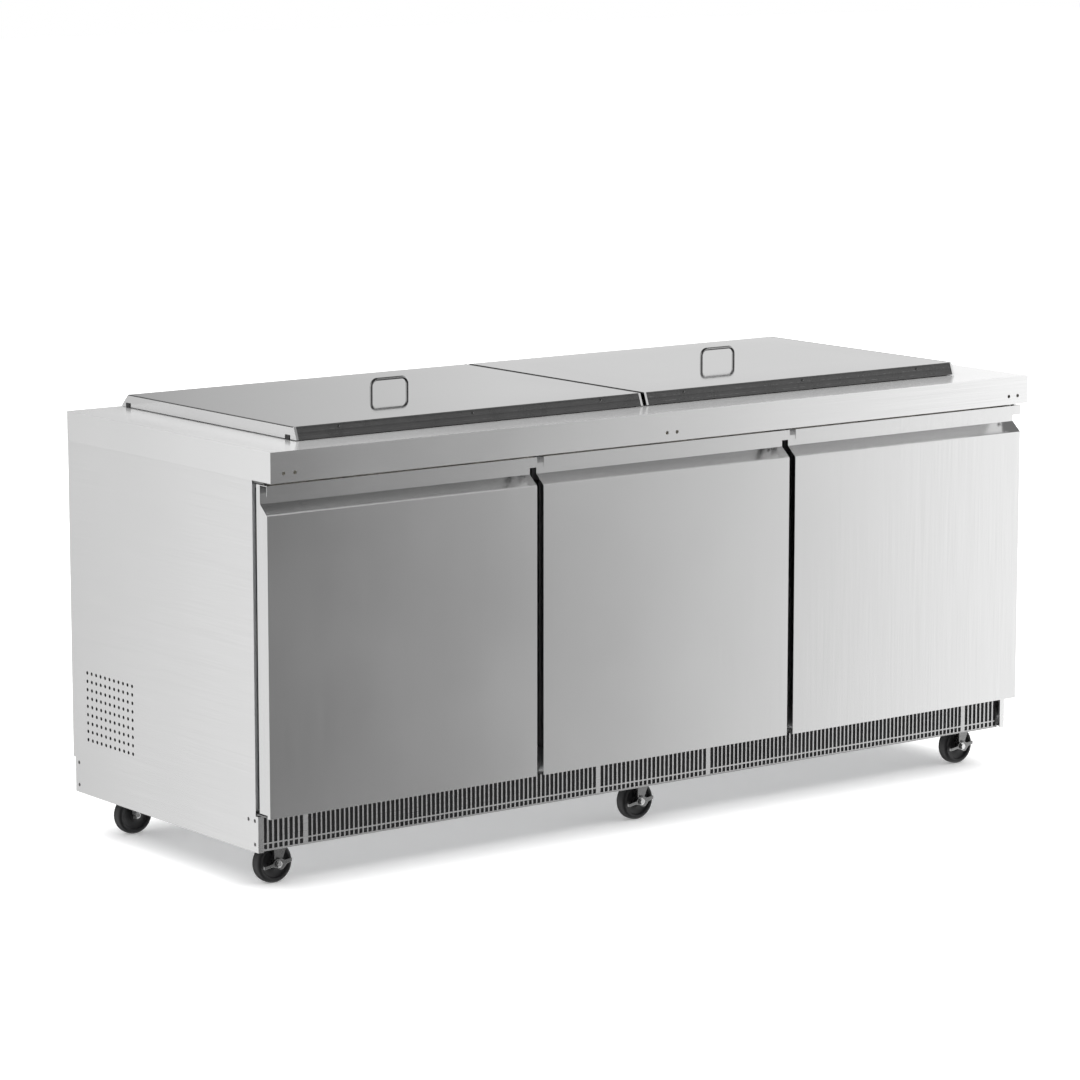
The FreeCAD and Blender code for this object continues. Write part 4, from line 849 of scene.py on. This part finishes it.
def make_room(scene):
    """Walls that grade from dark on the left to white on the right, seen in reflections; the camera sees white."""
    world = bpy.data.worlds.new("studio")
    scene.world = world
    world.use_nodes = True
    tree = world.node_tree
    tree.nodes.clear()

    def add(kind):
        return tree.nodes.new(kind)

    def link(source, target):
        tree.links.new(source, target)

    direction = add("ShaderNodeTexCoord")
    axes = add("ShaderNodeSeparateXYZ")
    link(direction.outputs["Generated"], axes.inputs["Vector"])
    front = add("ShaderNodeMath")
    front.operation = "MULTIPLY"
    front.inputs[1].default_value = -1.0
    link(axes.outputs["Y"], front.inputs[0])
    bearing = add("ShaderNodeMath")
    bearing.operation = "ARCTAN2"
    link(axes.outputs["X"], bearing.inputs[0])
    link(front.outputs["Value"], bearing.inputs[1])
    share = add("ShaderNodeMapRange")
    share.inputs["From Min"].default_value = -math.pi
    share.inputs["From Max"].default_value = math.pi
    link(bearing.outputs["Value"], share.inputs["Value"])
    walls = add("ShaderNodeValToRGB")
    ramp = walls.color_ramp
    ramp.interpolation = "LINEAR"
    for index, (degrees, level) in enumerate(WALL_STOPS):
        position = (degrees + 180.0) / 360.0
        if index == 0:
            element = ramp.elements[0]
        elif index == len(WALL_STOPS) - 1:
            element = ramp.elements[-1]
        else:
            element = ramp.elements.new(position)
        element.position = position
        element.color = (level, level, level, 1.0)
    link(share.outputs["Result"], walls.inputs["Fac"])
    height = add("ShaderNodeMapRange")
    height.interpolation_type = "SMOOTHSTEP"
    height.inputs["From Min"].default_value = CEILING_FROM
    height.inputs["From Max"].default_value = CEILING_TO
    link(axes.outputs["Z"], height.inputs["Value"])
    ceiling = add("ShaderNodeMix")
    ceiling.data_type = "RGBA"
    wall_colour, ceiling_colour = colour_sockets(ceiling.inputs)
    link(height.outputs["Result"], ceiling.inputs["Factor"])
    link(walls.outputs["Color"], wall_colour)
    ceiling_colour.default_value = (CEILING_LEVEL, CEILING_LEVEL, CEILING_LEVEL, 1.0)
    room = add("ShaderNodeBackground")
    room.inputs["Strength"].default_value = ROOM_STRENGTH
    link(colour_sockets(ceiling.outputs)[0], room.inputs["Color"])
    backdrop = add("ShaderNodeBackground")
    backdrop.inputs["Color"].default_value = (1.0, 1.0, 1.0, 1.0)
    seen = add("ShaderNodeLightPath")
    choice = add("ShaderNodeMixShader")
    link(seen.outputs["Is Camera Ray"], choice.inputs["Fac"])
    link(room.outputs["Background"], choice.inputs[1])
    link(backdrop.outputs["Background"], choice.inputs[2])
    output = add("ShaderNodeOutputWorld")
    link(choice.outputs["Shader"], output.inputs["Surface"])


def make_floor(scene):
    """A white floor that glows more the farther it is from the table, so that it runs into the backdrop."""
    mesh = bpy.data.meshes.new("floor")
    corners = [(x * FLOOR_HALF, y * FLOOR_HALF, 0) for x, y in ((-1, -1), (1, -1), (1, 1), (-1, 1))]
    mesh.from_pydata(corners, [], [(0, 1, 2, 3)])
    floor = bpy.data.objects.new("floor", mesh)
    scene.collection.objects.link(floor)
    white = Graph("floor_paint")
    white.shader.inputs["Base Color"].default_value = (0.9, 0.9, 0.9, 1.0)
    white.shader.inputs["Roughness"].default_value = 1.0
    white.shader.inputs["Specular IOR Level"].default_value = 0.0
    white.shader.inputs["Emission Color"].default_value = (1.0, 1.0, 1.0, 1.0)
    reach = white.add("ShaderNodeVectorMath")
    reach.operation = "LENGTH"
    white.link(white.place, reach.inputs[0])
    glow = white.spread(reach.outputs["Value"], *FLOOR_GLOW, *FLOOR_GLOW_REACH)
    white.link(glow, white.shader.inputs["Emission Strength"])
    mesh.materials.append(white.material)
    floor.visible_glossy = False
    return floor


def make_lamp(scene):
    """A large soft lamp above, left out of reflections."""
    data = bpy.data.lights.new("overhead", "AREA")
    data.shape = "RECTANGLE"
    data.size, data.size_y = LAMP_SIZE
    data.energy = LAMP_WATTS
    lamp = bpy.data.objects.new("overhead", data)
    lamp.location = LAMP_PLACE
    lamp.visible_glossy = False
    scene.collection.objects.link(lamp)
    return lamp


def make_camera(scene):
    data = bpy.data.cameras.new("camera")
    data.lens = CAMERA_LENS
    data.sensor_width = CAMERA_SENSOR
    camera = bpy.data.objects.new("camera", data)
    camera.location = CAMERA_PLACE
    camera.rotation_euler = Vector(CAMERA_FORWARD).to_track_quat("-Z", "Y").to_euler()
    scene.collection.objects.link(camera)
    scene.camera = camera
    return camera


def studio():
    scene = bpy.context.scene
    scene.view_settings.view_transform = "Standard"
    make_room(scene)
    floor = make_floor(scene)
    lamp = make_lamp(scene)
    camera = make_camera(scene)


studio()
